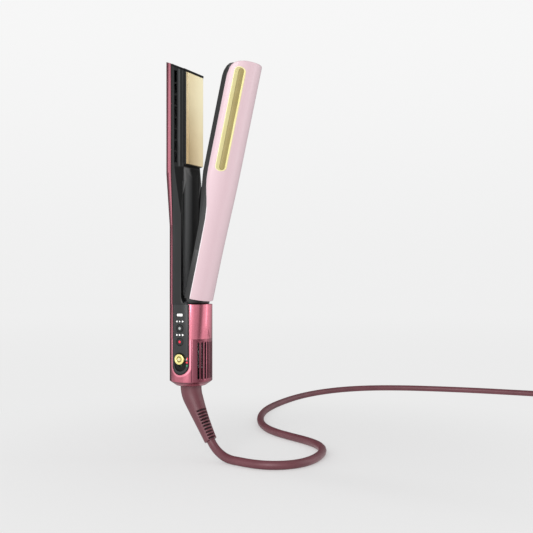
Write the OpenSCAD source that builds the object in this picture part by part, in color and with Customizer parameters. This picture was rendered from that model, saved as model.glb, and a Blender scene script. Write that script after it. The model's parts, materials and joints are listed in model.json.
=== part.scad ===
// Wet-to-dry hair straightener: a round barrel with a fan inside, a fixed arm that
// carries on from it, a second arm that swings open, and a mains cord on a swivel.
// Units are millimetres. Z runs up the handle, the moving arm opens towards +X and
// the control panel faces -Y. The origin is on the barrel's axis, at mid-height.
// The arm is drawn open, as it rests. The floor under the cord is at floor_z.

/* [Barrel] */
// Radius of the barrel and of both handles
barrel_r = 21.25; // [20.75:0.25:21.75]
// Height of the barrel's top edge
barrel_top = 40; // [39.5:0.5:40.5]
// Height of the barrel's lowest face
barrel_bottom = -40.5; // [-42:0.5:-40]
// Height where the filter cage meets the smooth housing
cage_top = 6; // [5:0.5:7]
// Number of slots that would fill the cage's whole round
cage_slots = 34; // [30:36]

/* [Control panel] */
// Half of the panel's width
panel_half = 9.8; // [9.6:0.1:10]
// Shift of the panel's middle from the barrel's axis
panel_x = 0.5; // [0:0.1:0.8]
// Lowest point of the panel's round end
panel_bottom = -29.3; // [-30:0.1:-29]
// Diameter of the two press buttons
button_d = 7.8; // [7.4:0.1:8]
// How far a button goes in
button_travel = 0.6; // [0.4:0.1:0.6]
// Diameter of the round slide switch
slider_d = 10.6; // [10:0.2:10.8]
// How far the slide switch goes down
slider_travel = 5; // [4:0.5:5]

/* [Fixed arm] */
// Radius of the fixed head's round back
head_r = 22.5; // [22.25:0.25:22.75]
// Middle of that round, off the barrel's axis
head_x = -2.5; // [-2.6:0.1:-2.4]
// Highest point of the chisel end
tip_top = 283.1; // [281.1:0.2:283.5]
// Fall of the chisel end for each millimetre across
tip_slope = 0.418; // [0.38:0.01:0.44]
// Length of a heater plate
plate_l = 90; // [86:90]
// Width of a heater plate
plate_w = 28; // [26:28]
// Number of air vents on each side
vent_count = 8; // [6:9]

/* [Moving arm] */
// Angle between the arms at rest
open_angle = 13.4; // [12:0.1:13.6]
// Radius of the moving head's round back
arm_r = 21.9; // [21.75:0.05:22]
// Middle of that round, off the barrel's axis
arm_x = 0.9; // [0.8:0.05:1]
// Width of the gold-lined accessory slot
slot_w = 7.5; // [7.25:0.05:7.5]
// Length of the accessory slot
slot_l = 98.5; // [94:0.5:98.5]

/* [Cord] */
// Diameter of the mains cord
cord_d = 8.5; // [8.3:0.1:8.5]
// Height of the floor that the cord lies on
floor_z = -113; // [-113.2:0.1:-112.9]
// Turns in the stored coil, both layers together
coil_turns = 5.25; // [4.25:1:5.25]
// Radius of the coil's innermost turn
coil_inner_r = 37.4; // [35:0.1:38]
// Distance between the plug's two pins
pin_spacing = 19; // [18.5:0.5:19.5]

/* [Hidden] */
$fn = 64;

// Small distances used all over
wall = 2;
seam = 0.1;
gap = 0.3;
far = 60;

// Hinge: the pin lies along Y at this place
pivot = [6, 42];
pin_r = 2;
lug_r = 5;
knuckle_r = 4.2;
lug_in = 10;
lug_out = 13;

// Where the round handle turns into the wider head, on each arm
fixed_blend = [118, 170];
moving_blend = [95, 165];

// Fixed arm in plan: rose back up to cover_x, black shell from there to its edge
cover_x = -9.8;
shell_x = 2;
channel_x = -1.2;
channel_half = 17.5;
face_x = 1;
facet = [129, 179];
bevel_in = [face_x, 14.6];
bevel_out = [-5.25, 22.35];
pad_x = 3.3;
plate_face = 6;
plate_z = 178;
tip_t = 2.2;
crest_x = 3;
crest_half = 16.2;
crest_bottom = 48.6;
foot_edge = [[shell_x, 48.5], [2.25, 45.8], [3, 43.5], [4.3, 41.7], [6, 40.5], [7.5, 40]];
foot_half = 15.5;
neck_r = 18.2;
neck_wall = 1.3;

// Moving arm in the closed pose: lip edge, cavity for the fixed head, cover edge
liner_x = 4.6;
cover_edge_x = 9;
lip_x = -2.1;
arm_bottom = 46.5;
cavity_floor = 8;
cavity_half = 15.6;
frame_back = 9.2;
arm_top = 280.5;
float_travel = 0.6;

cover_edge = [
    [cover_edge_x, 46], [cover_edge_x, 126], [8.2, 138], [6.4, 147], [4.6, 154], [3.2, 161],
    [2.4, 170], [2.4, 262], [3.3, 269], [4.9, 273]
];
arm_crown = [[7, 275.5], [11, 278], [16, 279.6], [23, arm_top], [far, arm_top]];
lip_edge = [
    [liner_x, 46], [liner_x, 120], [lip_x, 170], [lip_x, 262], [-1.2, 267],
    [1, 271.5], [3.6, 274.3], [7, 275.5]
];

// Accessory slot in the moving head
slot_x = 9.95;
slot_z = 174;
slot_depth_y = -11.7;
lining = 0.7;

// Strain relief: drop straight down, bend, then a slow curve to its end
boot_top = barrel_bottom - 0.4;
boot_heading = -8;
boot_start = 1;
boot_bends = [[26, 0, 27], [466, 27, 32.6]];
boot_radius = [[0, 10.5], [8, 10.2], [14, 9.8], [25, 8.6], [36, 7.6], [47, 6.8], [60, 6.1]];
relief_slots = 10;
relief_first = 28.6;
relief_pitch = 3.2;

// Stored coil and plug
layer_rise = cord_d + 0.45;
turn_pitch = cord_d + 0.6;
tie_t = 0.6;
tie_w = 12;
coil_mid = [318, 532];
coil_low = floor_z + tie_t + 0.05 + cord_d / 2;
coil_high = coil_low + layer_rise;
coil_outer_r = coil_inner_r + turn_pitch * coil_turns / 2;
plug_r = coil_high - floor_z;
plug_w = 36;
plug_l = 36;
plug_relief_l = 32;
plug_pin_r = 2.4;
plug_core_r = 1.8;
plug_pin_l = 19;

// Route of the free cord, from the strain relief over the floor to the coil
lay_z = floor_z + cord_d / 2;
cord_route = [
    [28.9, -4.2, -98], [33.7, -5.1, -102.3], [39.7, -6.2, -105.8], [46.2, -7.5, -108],
    [53, -9, lay_z], [61, -10.8, lay_z], [71, -12.8, lay_z], [83, -13.6, lay_z], [95, -11.2, lay_z],
    [106, -4.6, lay_z], [114, 5.4, lay_z], [118.6, 18, lay_z], [120, 32, lay_z],
    [118.6, 48, lay_z], [114.6, 64, lay_z], [107.4, 79.6, lay_z], [96.8, 93, lay_z],
    [83.4, 104, lay_z], [68, 113, lay_z], [48, 123, lay_z], [27, 135, lay_z],
    [7, 151, lay_z], [-11, 172, lay_z], [-27, 197, lay_z], [-42, 227, lay_z],
    [-55, 262, lay_z], [-64, 300, lay_z], [-69, 340, lay_z], [-71, 382, lay_z],
    [-68, 424, lay_z], [-58, 466, lay_z], [-39, 505, lay_z], [-8, 538, lay_z],
    [34, 561, lay_z], [86, 576, lay_z], [144, 586, lay_z], [204, 591, lay_z],
    [260, 592, lay_z + 0.3], [coil_mid.x - cord_d, coil_mid.y + coil_outer_r, coil_low]
];

// Shapes shared by several parts

// Puts a closed-pose shape where the open arm carries it
module swing() {
    translate([pivot.x, 0, pivot.y])
        rotate([0, open_angle, 0])
            translate([-pivot.x, 0, -pivot.y])
                children();
}

// A side view outline, in X and Z, made as wide as the arms and more
module side_view(points, half = far) {
    rotate([90, 0, 0])
        linear_extrude(2 * half, center = true)
            polygon(points);
}

// A round rod along Y
module rod_y(r, y0, y1) {
    translate([0, y1, 0])
        rotate([90, 0, 0])
            cylinder(r = r, h = y1 - y0);
}

// A tube along Z
module tube(r_out, r_in, z0, z1) {
    translate([0, 0, z0])
        difference() {
            cylinder(r = r_out, h = z1 - z0);
            translate([0, 0, -1])
                cylinder(r = r_in, h = z1 - z0 + 2);
        }
}

// A box from its two corners
module box(low, high) {
    translate(low)
        cube(high - low);
}

// A round bar that widens from the handle to the head and shifts sideways
module round_arm(r_low, r_high, x_high, blend, z0, z1) {
    translate([0, 0, z0])
        cylinder(r = r_low, h = blend[0] - z0);
    hull() {
        translate([0, 0, blend[0]])
            cylinder(r = r_low, h = 0.01);
        translate([x_high, 0, blend[1]])
            cylinder(r = r_high, h = 0.01);
    }
    translate([x_high, 0, blend[1]])
        cylinder(r = r_high, h = z1 - blend[1]);
}

module fixed_round(inset = 0, z0 = barrel_top) {
    round_arm(barrel_r - inset, head_r - inset, head_x, fixed_blend, z0, tip_top + 5);
}

module moving_round(inset = 0, z0 = arm_bottom) {
    round_arm(barrel_r - inset, arm_r - inset, arm_x, moving_blend, z0, arm_top + 5);
}

// Height of the chisel end above a place across the arm
function tip_z(x, drop = 0) = tip_top - drop - tip_slope * (x - head_x + head_r);

// Everything under the chisel end, between two places across
module below_tip(x0, x1, z0, drop = 0) {
    side_view([[x0, z0], [x1, z0], [x1, tip_z(x1, drop)], [x0, tip_z(x0, drop)]]);
}

// The bevel beside the plate, moved inwards by inset, at a far place along its line
bevel_dir = (bevel_out - bevel_in) / norm(bevel_out - bevel_in);
bevel_normal = [bevel_dir.y, -bevel_dir.x];
function bevel_corner(inset) =
    bevel_in + [-inset, inset * (bevel_normal.x - 1) / bevel_normal.y];
function bevel_end(inset) = bevel_corner(inset) + 20 * bevel_dir;

// Plan view of the fixed head in front of its round back
module head_plan(inset) {
    corner = bevel_corner(inset);
    end = bevel_end(inset);
    polygon([
        corner, end, [-far, far], [-far, -far], [end.x, -end.y], [corner.x, -corner.y]
    ]);
}

// All that lies behind the fixed arm's inner face
module fixed_front(inset, z0) {
    box([-far, -far, z0], [shell_x - inset, far, facet[0]]);
    hull() {
        translate([0, 0, facet[0] - 0.01])
            linear_extrude(0.01)
                polygon([
                    [shell_x - inset, 21.16], [-far, far], [-far, -far], [shell_x - inset, -21.16]
                ]);
        translate([0, 0, facet[1]])
            linear_extrude(0.01)
                head_plan(inset);
    }
    translate([0, 0, facet[1]])
        linear_extrude(tip_top - facet[1] + 5)
            head_plan(inset);
}

// Outline of the control panel, seen from the front
module panel_outline(grow = 0, top = barrel_top - seam) {
    half = panel_half + grow;
    mid = panel_bottom + panel_half;
    translate([panel_x, 0])
        union() {
            translate([0, mid])
                circle(r = half);
            translate([-half, mid])
                square([2 * half, top - mid]);
        }
}

// Pushes a front view outline back through the near wall
module front_view(y0 = -far, y1 = 0) {
    translate([0, y1, 0])
        rotate([90, 0, 0])
            linear_extrude(y1 - y0)
                children();
}

// A stadium, upright, from its lowest to its highest point
module stadium(r, low, high) {
    translate([0, low + r])
        circle(r = r);
    translate([0, high - r])
        circle(r = r);
    translate([-r, low + r])
        square([2 * r, high - low - 2 * r]);
}

// Barrel and what is in it

light_z = 29.8;
upper_dots_z = 23.5;
mode_z = 16.7;
lower_dots_z = 10.3;
heat_z = 3.5;
slider_z = -13.4;
recess_y = -19.75;
board_front = -17.8;
panel_in_r = barrel_r - 2.2;
frame_half = 11.2;
frame_bottom = -36;
dot_pitch = 3;

module base_housing() {
    color("#c9798a")
        difference() {
            union() {
                tube(barrel_r, barrel_r - wall, cage_top, barrel_top);
                translate([0, 0, barrel_top - 3])
                    cylinder(r = barrel_r - 1, h = 3);
                intersection() {
                    tube(barrel_r, barrel_r - wall, frame_bottom, cage_top + 1);
                    box([panel_x - frame_half, -far, frame_bottom], [panel_x + frame_half, 0, cage_top + 1]);
                }
            }
            difference() {
                front_view()
                    panel_outline(seam, barrel_top + 1);
                cylinder(r = panel_in_r - seam, h = 200, center = true);
            }
            box([-17, -11, barrel_top - 4], [-3.4, 11, barrel_top + 1]);
            box([0.5, -15.2, barrel_top - 4], [13, 15.2, barrel_top + 1]);
        }
}

module dots_row(z, r, y0, y1) {
    for (i = [-1:1])
        translate([panel_x + i * dot_pitch, 0, z])
            rod_y(r, y0, y1);
}

module control_panel() {
    color("#2e2e30")
        difference() {
            intersection() {
                tube(barrel_r, panel_in_r, panel_bottom, barrel_top - seam);
                front_view()
                    panel_outline();
            }
            box([panel_x - 3.25, -far, light_z - 1.45], [panel_x + 3.25, 0, light_z + 1.45]);
            dots_row(upper_dots_z, 0.8, -far, 0);
            dots_row(lower_dots_z, 0.8, -far, 0);
            for (z = [mode_z, heat_z])
                translate([panel_x, 0, z])
                    rod_y(button_d / 2 + seam, -far, 0);
            front_view(-far, recess_y)
                translate([panel_x, 0])
                    stadium(6.8, slider_z - slider_travel - 6.9, slider_z + 6.4);
            box([panel_x - 1.8, -far, slider_z - slider_travel - 2.3], [panel_x + 1.8, 0, slider_z + 2.3]);
        }
}

module light_bar() {
    color("#f4f4f0")
        intersection() {
            cylinder(r = barrel_r, h = 2 * light_z);
            box([panel_x - 3.2, -far, light_z - 1.4], [panel_x + 3.2, -18.2, light_z + 1.4]);
        }
}

// Three light guides on one bar behind the panel
module dot_lights(z) {
    color("#f4f4f0")
        union() {
            intersection() {
                cylinder(r = barrel_r, h = 2 * z);
                dots_row(z, 0.75, -far, -18.2);
            }
            box([panel_x - 3.7, -18.5, z - 0.75], [panel_x + 3.7, board_front - seam, z + 0.75]);
        }
}

module upper_lights() {
    dot_lights(upper_dots_z);
}

module lower_lights() {
    dot_lights(lower_dots_z);
}

module main_board() {
    color("#3a6b47")
        union() {
            box([panel_x - 5.9, board_front, -25], [panel_x + 5.9, board_front + 1.2, 33]);
            for (z = [-20, -8, 20, 28])
                box([panel_x - 3, board_front + 1.2, z], [panel_x + 3, board_front + 1.8, z + 4]);
        }
}

// Inner frame: the round end that shows below, and posts up to the motor mount
module chassis() {
    color("#3b3b3e")
        union() {
            tube(13, 8.5, barrel_bottom, barrel_bottom + 3);
            tube(13, 11.6, barrel_bottom + 2, -26.5);
            tube(16.8, 4, -27, -25.4);
            for (a = [0, 120, 240])
                rotate([0, 0, a])
                    translate([15.2, 0, -26])
                        cylinder(r = 1.3, h = 32.5);
        }
}

module fan_motor() {
    color("#8e9296")
        difference() {
            union() {
                translate([0, 0, -22])
                    cylinder(r = 12.2, h = 28.5);
                translate([0, 0, 6.5])
                    cylinder(r = 4, h = 1.6);
            }
            translate([0, 0, -2])
                cylinder(r = 1.55, h = 20);
        }
}

module motor_mount() {
    color("#3b3b3e")
        difference() {
            tube(18.9, 4.1, 6.6, 8.6);
            for (a = [30:60:330])
                rotate([0, 0, a])
                    translate([9.6, 0, 0])
                        cylinder(r = 3.4, h = 20);
            box([panel_x - 6.2, -far, 0], [panel_x + 6.2, board_front + 2.2, 20]);
        }
}

module fan_shroud() {
    color("#55565a")
        tube(15.6, 14.9, 8.7, 34);
}

module impeller() {
    color("#d8d8d8")
        union() {
            translate([0, 0, -1])
                cylinder(r = 1.5, h = 22);
            translate([0, 0, 10])
                cylinder(r = 5, h = 10.5);
            for (a = [0:40:320])
                rotate([0, 0, a])
                    translate([9.2, 0, 15.2])
                        rotate([35, 0, 0])
                            cube([10, 1.2, 8], center = true);
        }
}

module press_button(z) {
    color("#38383a")
        translate([panel_x, 0, z])
            union() {
                rod_y(button_d / 2, -21.5, -19.7);
                rod_y(1.2, -19.8, board_front - button_travel - gap);
            }
}

module mode_button() {
    press_button(mode_z);
}

module heat_button() {
    press_button(heat_z);
}

// Gold slide switch with a dimple
module slide_switch() {
    color("#e8d9a4")
        translate([panel_x, 0, slider_z])
            difference() {
                union() {
                    rod_y(slider_d / 2, -22.3, recess_y - 0.2);
                    rod_y(slider_d / 2 - 0.5, -22.8, -22.2);
                    box([-1.5, recess_y - 0.3, -2], [1.5, board_front - 0.4, 2]);
                }
                rod_y(2, -far, -22.4);
            }
}

// Filter that slides off downwards

slot_step = 360 / cage_slots;
first_slot = 5;

module filter_cage() {
    color("#8d5560")
        difference() {
            union() {
                tube(barrel_r, barrel_r - wall, barrel_bottom + 4.5, cage_top - seam);
                translate([0, 0, barrel_bottom])
                    rotate_extrude()
                        polygon([
                            [13.5, 0], [barrel_r - 6.5, 0], [barrel_r, 4.9],
                            [barrel_r - wall, 4.9], [13.5, 3]
                        ]);
            }
            for (k = [first_slot:cage_slots - first_slot])
                rotate([0, 0, -90 + k * slot_step])
                    translate([barrel_r, 0, 0])
                        rotate([90, 0, 90])
                            linear_extrude(2 * wall + 2, center = true)
                                stadium(0.9, -33, 3);
            box([panel_x - frame_half - gap, -far, frame_bottom - gap], [panel_x + frame_half + gap, -12, 20]);
        }
}

module filter_mesh() {
    color("#b9b2a6")
        difference() {
            union() {
                tube(18.2, 17.6, -35, 4);
                tube(barrel_r - wall - seam, 17.6, -35.2, -34);
                tube(18.7, 17.6, 2.5, 4);
            }
            box([panel_x - frame_half - 1, -far, -40], [panel_x + frame_half + 1, 0, 20]);
        }
}

// Fixed arm

// Air duct inside the fixed arm
module fixed_duct(inset = wall) {
    intersection() {
        fixed_round(inset, barrel_top - 1);
        fixed_front(inset - 0.4, barrel_top - 1);
        side_view([
            [-far, barrel_top - 1], [channel_x - inset + 0.4, barrel_top - 1],
            [channel_x - inset + 0.4, 138], [face_x - inset + 0.4, 172],
            [face_x - inset + 0.4, tip_top + 5], [-far, tip_top + 5]
        ]);
    }
}

module fixed_cover() {
    color("#c9798a")
        difference() {
            intersection() {
                fixed_round();
                below_tip(-far, cover_x, barrel_top);
            }
            fixed_round(wall, barrel_top - 1);
        }
}

module fixed_shell() {
    color("#343436")
        difference() {
            union() {
                difference() {
                    intersection() {
                        fixed_round();
                        fixed_front(0, barrel_top);
                        below_tip(cover_x, far, barrel_top, tip_t + 0.05);
                    }
                    side_view([
                        [channel_x, barrel_top - 1], [channel_x, 140], [shell_x + 0.2, 170],
                        [far, 170], [far, barrel_top - 1]
                    ], channel_half);
                }
                fixed_crest();
                fixed_foot();
                intersection() {
                    box([face_x - 1, -plate_w / 2 - 0.4, plate_z - 0.4], [pad_x, plate_w / 2 + 0.4, tip_top]);
                    below_tip(0, far, plate_z - 1, tip_t + 0.05);
                }
            }
            fixed_duct();
            box([-far, -9.3, plate_z + 6.8], [pad_x + 1, 9.3, plate_z + 82.2]);
            fixed_vents();
        }
}

// Inner face of the fixed handle: a flat arch between two grooves, sloping away at its top
module fixed_crest() {
    rise = crest_x - channel_x;
    crest_r = (crest_half * crest_half + rise * rise) / (2 * rise);
    intersection() {
        translate([crest_x - crest_r, 0, crest_bottom])
            cylinder(r = crest_r, h = 173 - crest_bottom, $fn = 128);
        side_view([
            [channel_x - 0.5, crest_bottom], [crest_x + 1, crest_bottom], [crest_x + 1, 162], [face_x, 173],
            [channel_x - 0.5, 173]
        ], crest_half);
    }
}

// Rounded foot where the fixed handle's rim meets the barrel's top edge
module fixed_foot() {
    difference() {
        intersection() {
            fixed_round();
            side_view(concat(foot_edge, [[channel_x, barrel_top], [channel_x, 48.5]]));
        }
        box([-far, -foot_half, 0], [far, foot_half, 60]);
    }
}

// Slots through the bevel on both sides, one above the other, the highest a little longer
vent_first = 179.5;
vent_pitch = 11.2;
vent_bar = 1.6;
vent_extra = 1.8;

module fixed_vents() {
    for (side = [-1, 1], i = [0:vent_count - 1])
        translate([-4.2, side * 21.05, vent_first + i * vent_pitch])
            rotate([0, 0, side * atan2(bevel_dir.y, bevel_dir.x)])
                translate([-1.5, -3, 0])
                    cube([3, 6, vent_pitch - vent_bar + (i == vent_count - 1 ? vent_extra : 0)]);
}

module fixed_plate() {
    color("#e2cda0")
        intersection() {
            translate([0, 0, plate_z])
                linear_extrude(plate_l + 5)
                    polygon([
                        [pad_x + 0.05, -plate_w / 2], [plate_face - 0.9, -plate_w / 2],
                        [plate_face, -plate_w / 2 + 0.9], [plate_face, plate_w / 2 - 0.9],
                        [plate_face - 0.9, plate_w / 2], [pad_x + 0.05, plate_w / 2]
                    ]);
            below_tip(0, far, plate_z, tip_t + 0.15);
        }
}

module fixed_heater() {
    color("#d8d2c4")
        box([-2.4, -9, plate_z + 7], [pad_x, 9, plate_z + 82]);
}

// Black end plate that closes the fixed head and covers the top of its plate
module fixed_tip() {
    color("#1f1f21")
        difference() {
            union() {
                intersection() {
                    fixed_round();
                    fixed_front(0, barrel_top);
                    below_tip(cover_x + seam, far, barrel_top);
                }
                intersection() {
                    fixed_round(wall + 0.05, barrel_top);
                    below_tip(-far, cover_x + 1, barrel_top);
                }
                intersection() {
                    box([0, -plate_w / 2, 240], [plate_face, plate_w / 2, tip_top]);
                    below_tip(0, far, 240);
                }
            }
            below_tip(-far, far, 0, tip_t);
        }
}

// Hot air element: a cross of mica with wire rings on it
module air_heater() {
    color("#b8a67a")
        translate([-11, 0, 60])
            union() {
                translate([-7, -0.6, 0])
                    cube([14, 1.2, 50]);
                translate([-0.6, -7, 0])
                    cube([1.2, 14, 50]);
                for (i = [1:8])
                    translate([0, 0, 5.5 * i])
                        rotate_extrude()
                            translate([6.4, 0])
                                circle(r = 0.5, $fn = 16);
            }
}

module thermal_fuse() {
    color("#d9d9d9")
        translate([-6, 0, 150])
            union() {
                cylinder(r = 2, h = 12);
                translate([0, 0, -4])
                    cylinder(r = 0.5, h = 20);
            }
}

module fixed_wires() {
    color("#b04038")
        for (y = [-9.5, 9.5])
            translate([-6.5, y, 34.5])
                cylinder(r = 1.1, h = 145);
}

// Hinge

module hinge_fork() {
    color("#3b3b3e")
        difference() {
            union() {
                box([-0.8, -13.4, 34.5], [12.6, 13.4, barrel_top - 3]);
                intersection() {
                    for (side = [-1, 1])
                        translate([pivot.x, side * (lug_in + lug_out) / 2, 0])
                            union() {
                                translate([0, 0, pivot.y])
                                    rod_y(lug_r, (lug_in - lug_out) / 2, (lug_out - lug_in) / 2);
                                translate([-lug_r, (lug_in - lug_out) / 2, 35])
                                    cube([2 * lug_r, lug_out - lug_in, pivot.y - 35]);
                            }
                    cylinder(r = neck_r - neck_wall - 0.5, h = 60);
                }
            }
            translate([pivot.x, 0, pivot.y])
                rod_y(pin_r + 0.03, -far, far);
        }
}

module hinge_pin() {
    color("#b5b8bc")
        translate([pivot.x, 0, pivot.y])
            union() {
                rod_y(pin_r, -lug_out - 0.4, lug_out + 0.4);
                for (side = [-1, 1])
                    translate([0, side * (lug_out + 0.5), 0])
                        rod_y(pin_r + 1, -0.4, 0.4);
            }
}

module hinge_spring() {
    color("#a9adb2")
        translate([pivot.x, 0, pivot.y])
            union() {
                for (i = [-1.5:1:1.5])
                    translate([0, i * 1.3, 0])
                        rotate([90, 0, 0])
                            rotate_extrude()
                                translate([2.9, 0])
                                    circle(r = 0.6, $fn = 16);
                translate([-2.9, 0, 0])
                    rod_y(0.5, -2.2, 2.2);
                translate([-2.9, 1.95, -4.9])
                    cylinder(r = 0.5, h = 4.9);
            }
}

// Block on the moving arm that turns on the pin
module hinge_knuckle() {
    color("#3b3b3e")
        swing()
            difference() {
                union() {
                    translate([pivot.x, 0, pivot.y])
                        rod_y(knuckle_r, -lug_in + gap, lug_in - gap);
                    side_view([
                        [3, 42], [3, 46], [7.6, 50], [7.6, 66], [13, 66], [13, 50], [10.1, 42]
                    ], lug_in - gap);
                }
                translate([pivot.x, 0, pivot.y])
                    rod_y(pin_r + 0.06, -far, far);
                translate([pivot.x, 0, pivot.y])
                    rod_y(knuckle_r + 2, -3.3, 3.3);
            }
}

// Moving arm, each shape in its closed pose and then swung open

module moving_cover() {
    color("#e8ccd3")
        swing()
            difference() {
                intersection() {
                    moving_round();
                    side_view(concat(cover_edge, arm_crown, [[far, 46]]));
                }
                intersection() {
                    moving_round(wall - seam, arm_bottom + 2);
                    side_view(concat(
                        [for (p = concat(cover_edge, arm_crown)) p - [wall, wall]],
                        [[far, 0], [0, 0]]
                    ));
                }
                box([0, -15.2, 0], [12.5, 15.2, arm_bottom + 2.1]);
                box([0, -lug_in - gap, 0], [13.4, lug_in + gap, arm_bottom + 3]);
                slot_prism(lining + 0.05, slot_depth_y + lining + 0.05);
            }
}

// The accessory slot, cut in along Y from the front
module slot_prism(grow, y_in) {
    front_view(-far, y_in)
        translate([slot_x + slot_w / 2, 0])
            stadium(slot_w / 2 + grow, slot_z - grow, slot_z + slot_l + grow);
}

module slot_lining() {
    color("#dcc878")
        swing()
            difference() {
                intersection() {
                    moving_round();
                    slot_prism(lining, slot_depth_y + lining);
                }
                slot_prism(0, slot_depth_y);
            }
}

// Room inside the moving liner for the fixed head and its plate
module cavity() {
    slope = (bevel_in.y - bevel_out.y) / (bevel_in.x - bevel_out.x) * 0.76;
    wide = cavity_half - slope * 8;
    plan = [
        [-5, -wide], [-5, wide], [3, cavity_half], [cavity_floor, cavity_half],
        [cavity_floor, -cavity_half], [3, -cavity_half]
    ];
    box([-5, -18.2, 0], [5.5, 18.2, 118]);
    hull() {
        translate([0, 0, 118])
            linear_extrude(0.01)
                polygon([[-5, -19.8], [-5, 19.8], [5.5, 19.8], [5.5, -19.8]]);
        translate([0, 0, 170])
            linear_extrude(0.01)
                polygon(plan);
    }
    translate([0, 0, 170])
        linear_extrude(104)
            polygon(plan);
}

// Black rim of the moving arm: it shows as a stripe outside and closes the handle inside
module moving_lip() {
    color("#2c2c2e")
        swing()
            difference() {
                intersection() {
                    moving_round();
                    side_view(concat(lip_edge, [for (i = [len(cover_edge) - 1:-1:0]) cover_edge[i]]));
                }
                cavity();
                intersection() {
                    cylinder(r = barrel_r - wall, h = 140);
                    box([liner_x + 2.9, -far, 0], [far, far, 140]);
                }
                box([0, -18.2, 0], [far, 18.2, pivot.y + 8]);
            }
}

// Frame round the moving plate, inside the cover
module plate_frame() {
    inner = [for (i = [1:len(cover_edge) - 1]) cover_edge[i] + [0.05, 0]];
    color("#2c2c2e")
        swing()
            difference() {
                intersection() {
                    moving_round(wall);
                    side_view(concat(inner, [[frame_back, 274], [frame_back, 170]]));
                }
                cavity();
                box([7, -14.3, plate_z + 0.5], [12, 14.3, plate_z + plate_l + 0.9]);
            }
}

// Black neck under the arm's lower end, slimmer than the barrel and level with it when open
module arm_end() {
    color("#1f1f21")
        swing()
            difference() {
                intersection() {
                    translate([0, 0, 30])
                        cylinder(r = neck_r, h = 30);
                    side_view([
                        [6.2, 42.2], [8.2, 41.01], [8.2 + (arm_bottom - 41.01) / tan(open_angle), arm_bottom],
                        [4.7, arm_bottom], [5.1, 44.2]
                    ]);
                }
                cylinder(r = neck_r - neck_wall, h = 60);
            }
}

module moving_plate() {
    half = plate_w / 2;
    color("#e2cda0")
        swing()
            translate([0, 0, plate_z + 0.8])
                linear_extrude(plate_l - 0.2)
                    polygon([
                        [8.3, -half], [7.1, -half], [6.3, -half + 0.8],
                        [6.3, half - 0.8], [7.1, half], [8.3, half]
                    ]);
}

module moving_heater() {
    color("#d8d2c4")
        swing()
            box([8.35, -9.5, plate_z + 7], [9.2, 9.5, plate_z + 82]);
}

// Coil spring that carries the plate, between the heater and the bridge
module plate_spring(z) {
    color("#a9adb2")
        swing()
            translate([10.2, 0, z])
                rotate([0, 90, 0])
                    union() {
                        for (i = [0:3])
                            translate([0, 0, 0.5 + i * 1.2])
                                rotate_extrude()
                                    translate([2.4, 0])
                                        circle(r = 0.45, $fn = 16);
                        translate([2.4, 0, 0.5])
                            cylinder(r = 0.35, h = 3.6, $fn = 16);
                    }
}

module upper_spring() {
    plate_spring(250);
}

module lower_spring() {
    plate_spring(196);
}

module spring_bridge() {
    color("#3b3b3e")
        swing()
            box([15, -6, 186], [16.4, 6, 260]);
}

module moving_wires() {
    color("#b04038")
        swing()
            for (y = [-5, 5])
                translate([12, y, 66.5])
                    cylinder(r = 0.9, h = 115);
}

// Cord swivel and strain relief

module swivel_collar() {
    color("#4a4a4d")
        union() {
            translate([0, 0, boot_top])
                cylinder(r = 8.45, h = 6);
            translate([0, 0, barrel_bottom + 3 + gap])
                cylinder(r = 10.6, h = 2);
        }
}

module slip_ring() {
    color("#c9a24a")
        union() {
            translate([0, 0, boot_top + 6])
                cylinder(r = 6, h = 6);
            for (i = [0:2])
                tube(6.6, 5, boot_top + 6.8 + i * 1.8, boot_top + 7.6 + i * 1.8);
        }
}

// Middle line of the strain relief as a place and a lean, a given way along it
function bend_length(b) = b[0] * (b[2] - b[1]) * PI / 180;
function bend_drop(b, lean) = b[0] * (sin(lean) - sin(b[1]));
function bend_shift(b, lean) = b[0] * (cos(b[1]) - cos(lean));
boot_length = boot_start + bend_length(boot_bends[0]) + bend_length(boot_bends[1]);

function boot_lean(s) =
    s <= boot_start ? 0 :
    s <= boot_start + bend_length(boot_bends[0]) ? (s - boot_start) / boot_bends[0][0] * 180 / PI :
    boot_bends[1][1]
        + (s - boot_start - bend_length(boot_bends[0])) / boot_bends[1][0] * 180 / PI;

function boot_place(s) =
    let (a = boot_bends[0], b = boot_bends[1], lean = boot_lean(s))
    s <= boot_start ? [0, -s] :
    lean <= a[2] ? [bend_shift(a, lean), -boot_start - bend_drop(a, lean)] :
    [
        bend_shift(a, a[2]) + bend_shift(b, lean),
        -boot_start - bend_drop(a, a[2]) - bend_drop(b, lean)
    ];

// A closed tube through rings of points, first ring to last
module skin(rings) {
    n = len(rings[0]);
    last = len(rings) - 1;
    points = [for (ring = rings) each ring];
    sides = [
        for (i = [0:last - 1], j = [0:n - 1])
            let (k = (j + 1) % n)
            each [
                [i * n + j, i * n + k, (i + 1) * n + k],
                [i * n + j, (i + 1) * n + k, (i + 1) * n + j]
            ]
    ];
    ends = [
        for (j = [1:n - 2])
            each [[0, j + 1, j], [last * n, last * n + j, last * n + j + 1]]
    ];
    polyhedron(points, concat(sides, ends));
}

// Relief slots are dents in two arcs, on opposite sides
boot_sides = 24;
slot_turn = 14;
slot_half_arc = 45;
slot_half = 0.75;
slot_dent = 2.2;
slot_wall = 0.1;
slot_rings = [
    for (i = [0:relief_slots - 1], side = [-1, 1])
        let (s = relief_first + i * relief_pitch + side * slot_half)
        each side < 0 ? [[s - slot_wall, 0], [s, slot_dent]] : [[s, slot_dent], [s + slot_wall, 0]]
];
boot_rings = concat([for (s = [0:2.2:26.4]) [s, 0]], slot_rings, [[boot_length, 0]]);

function in_slot(a) = abs(cos(a - slot_turn)) > cos(slot_half_arc);

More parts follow.
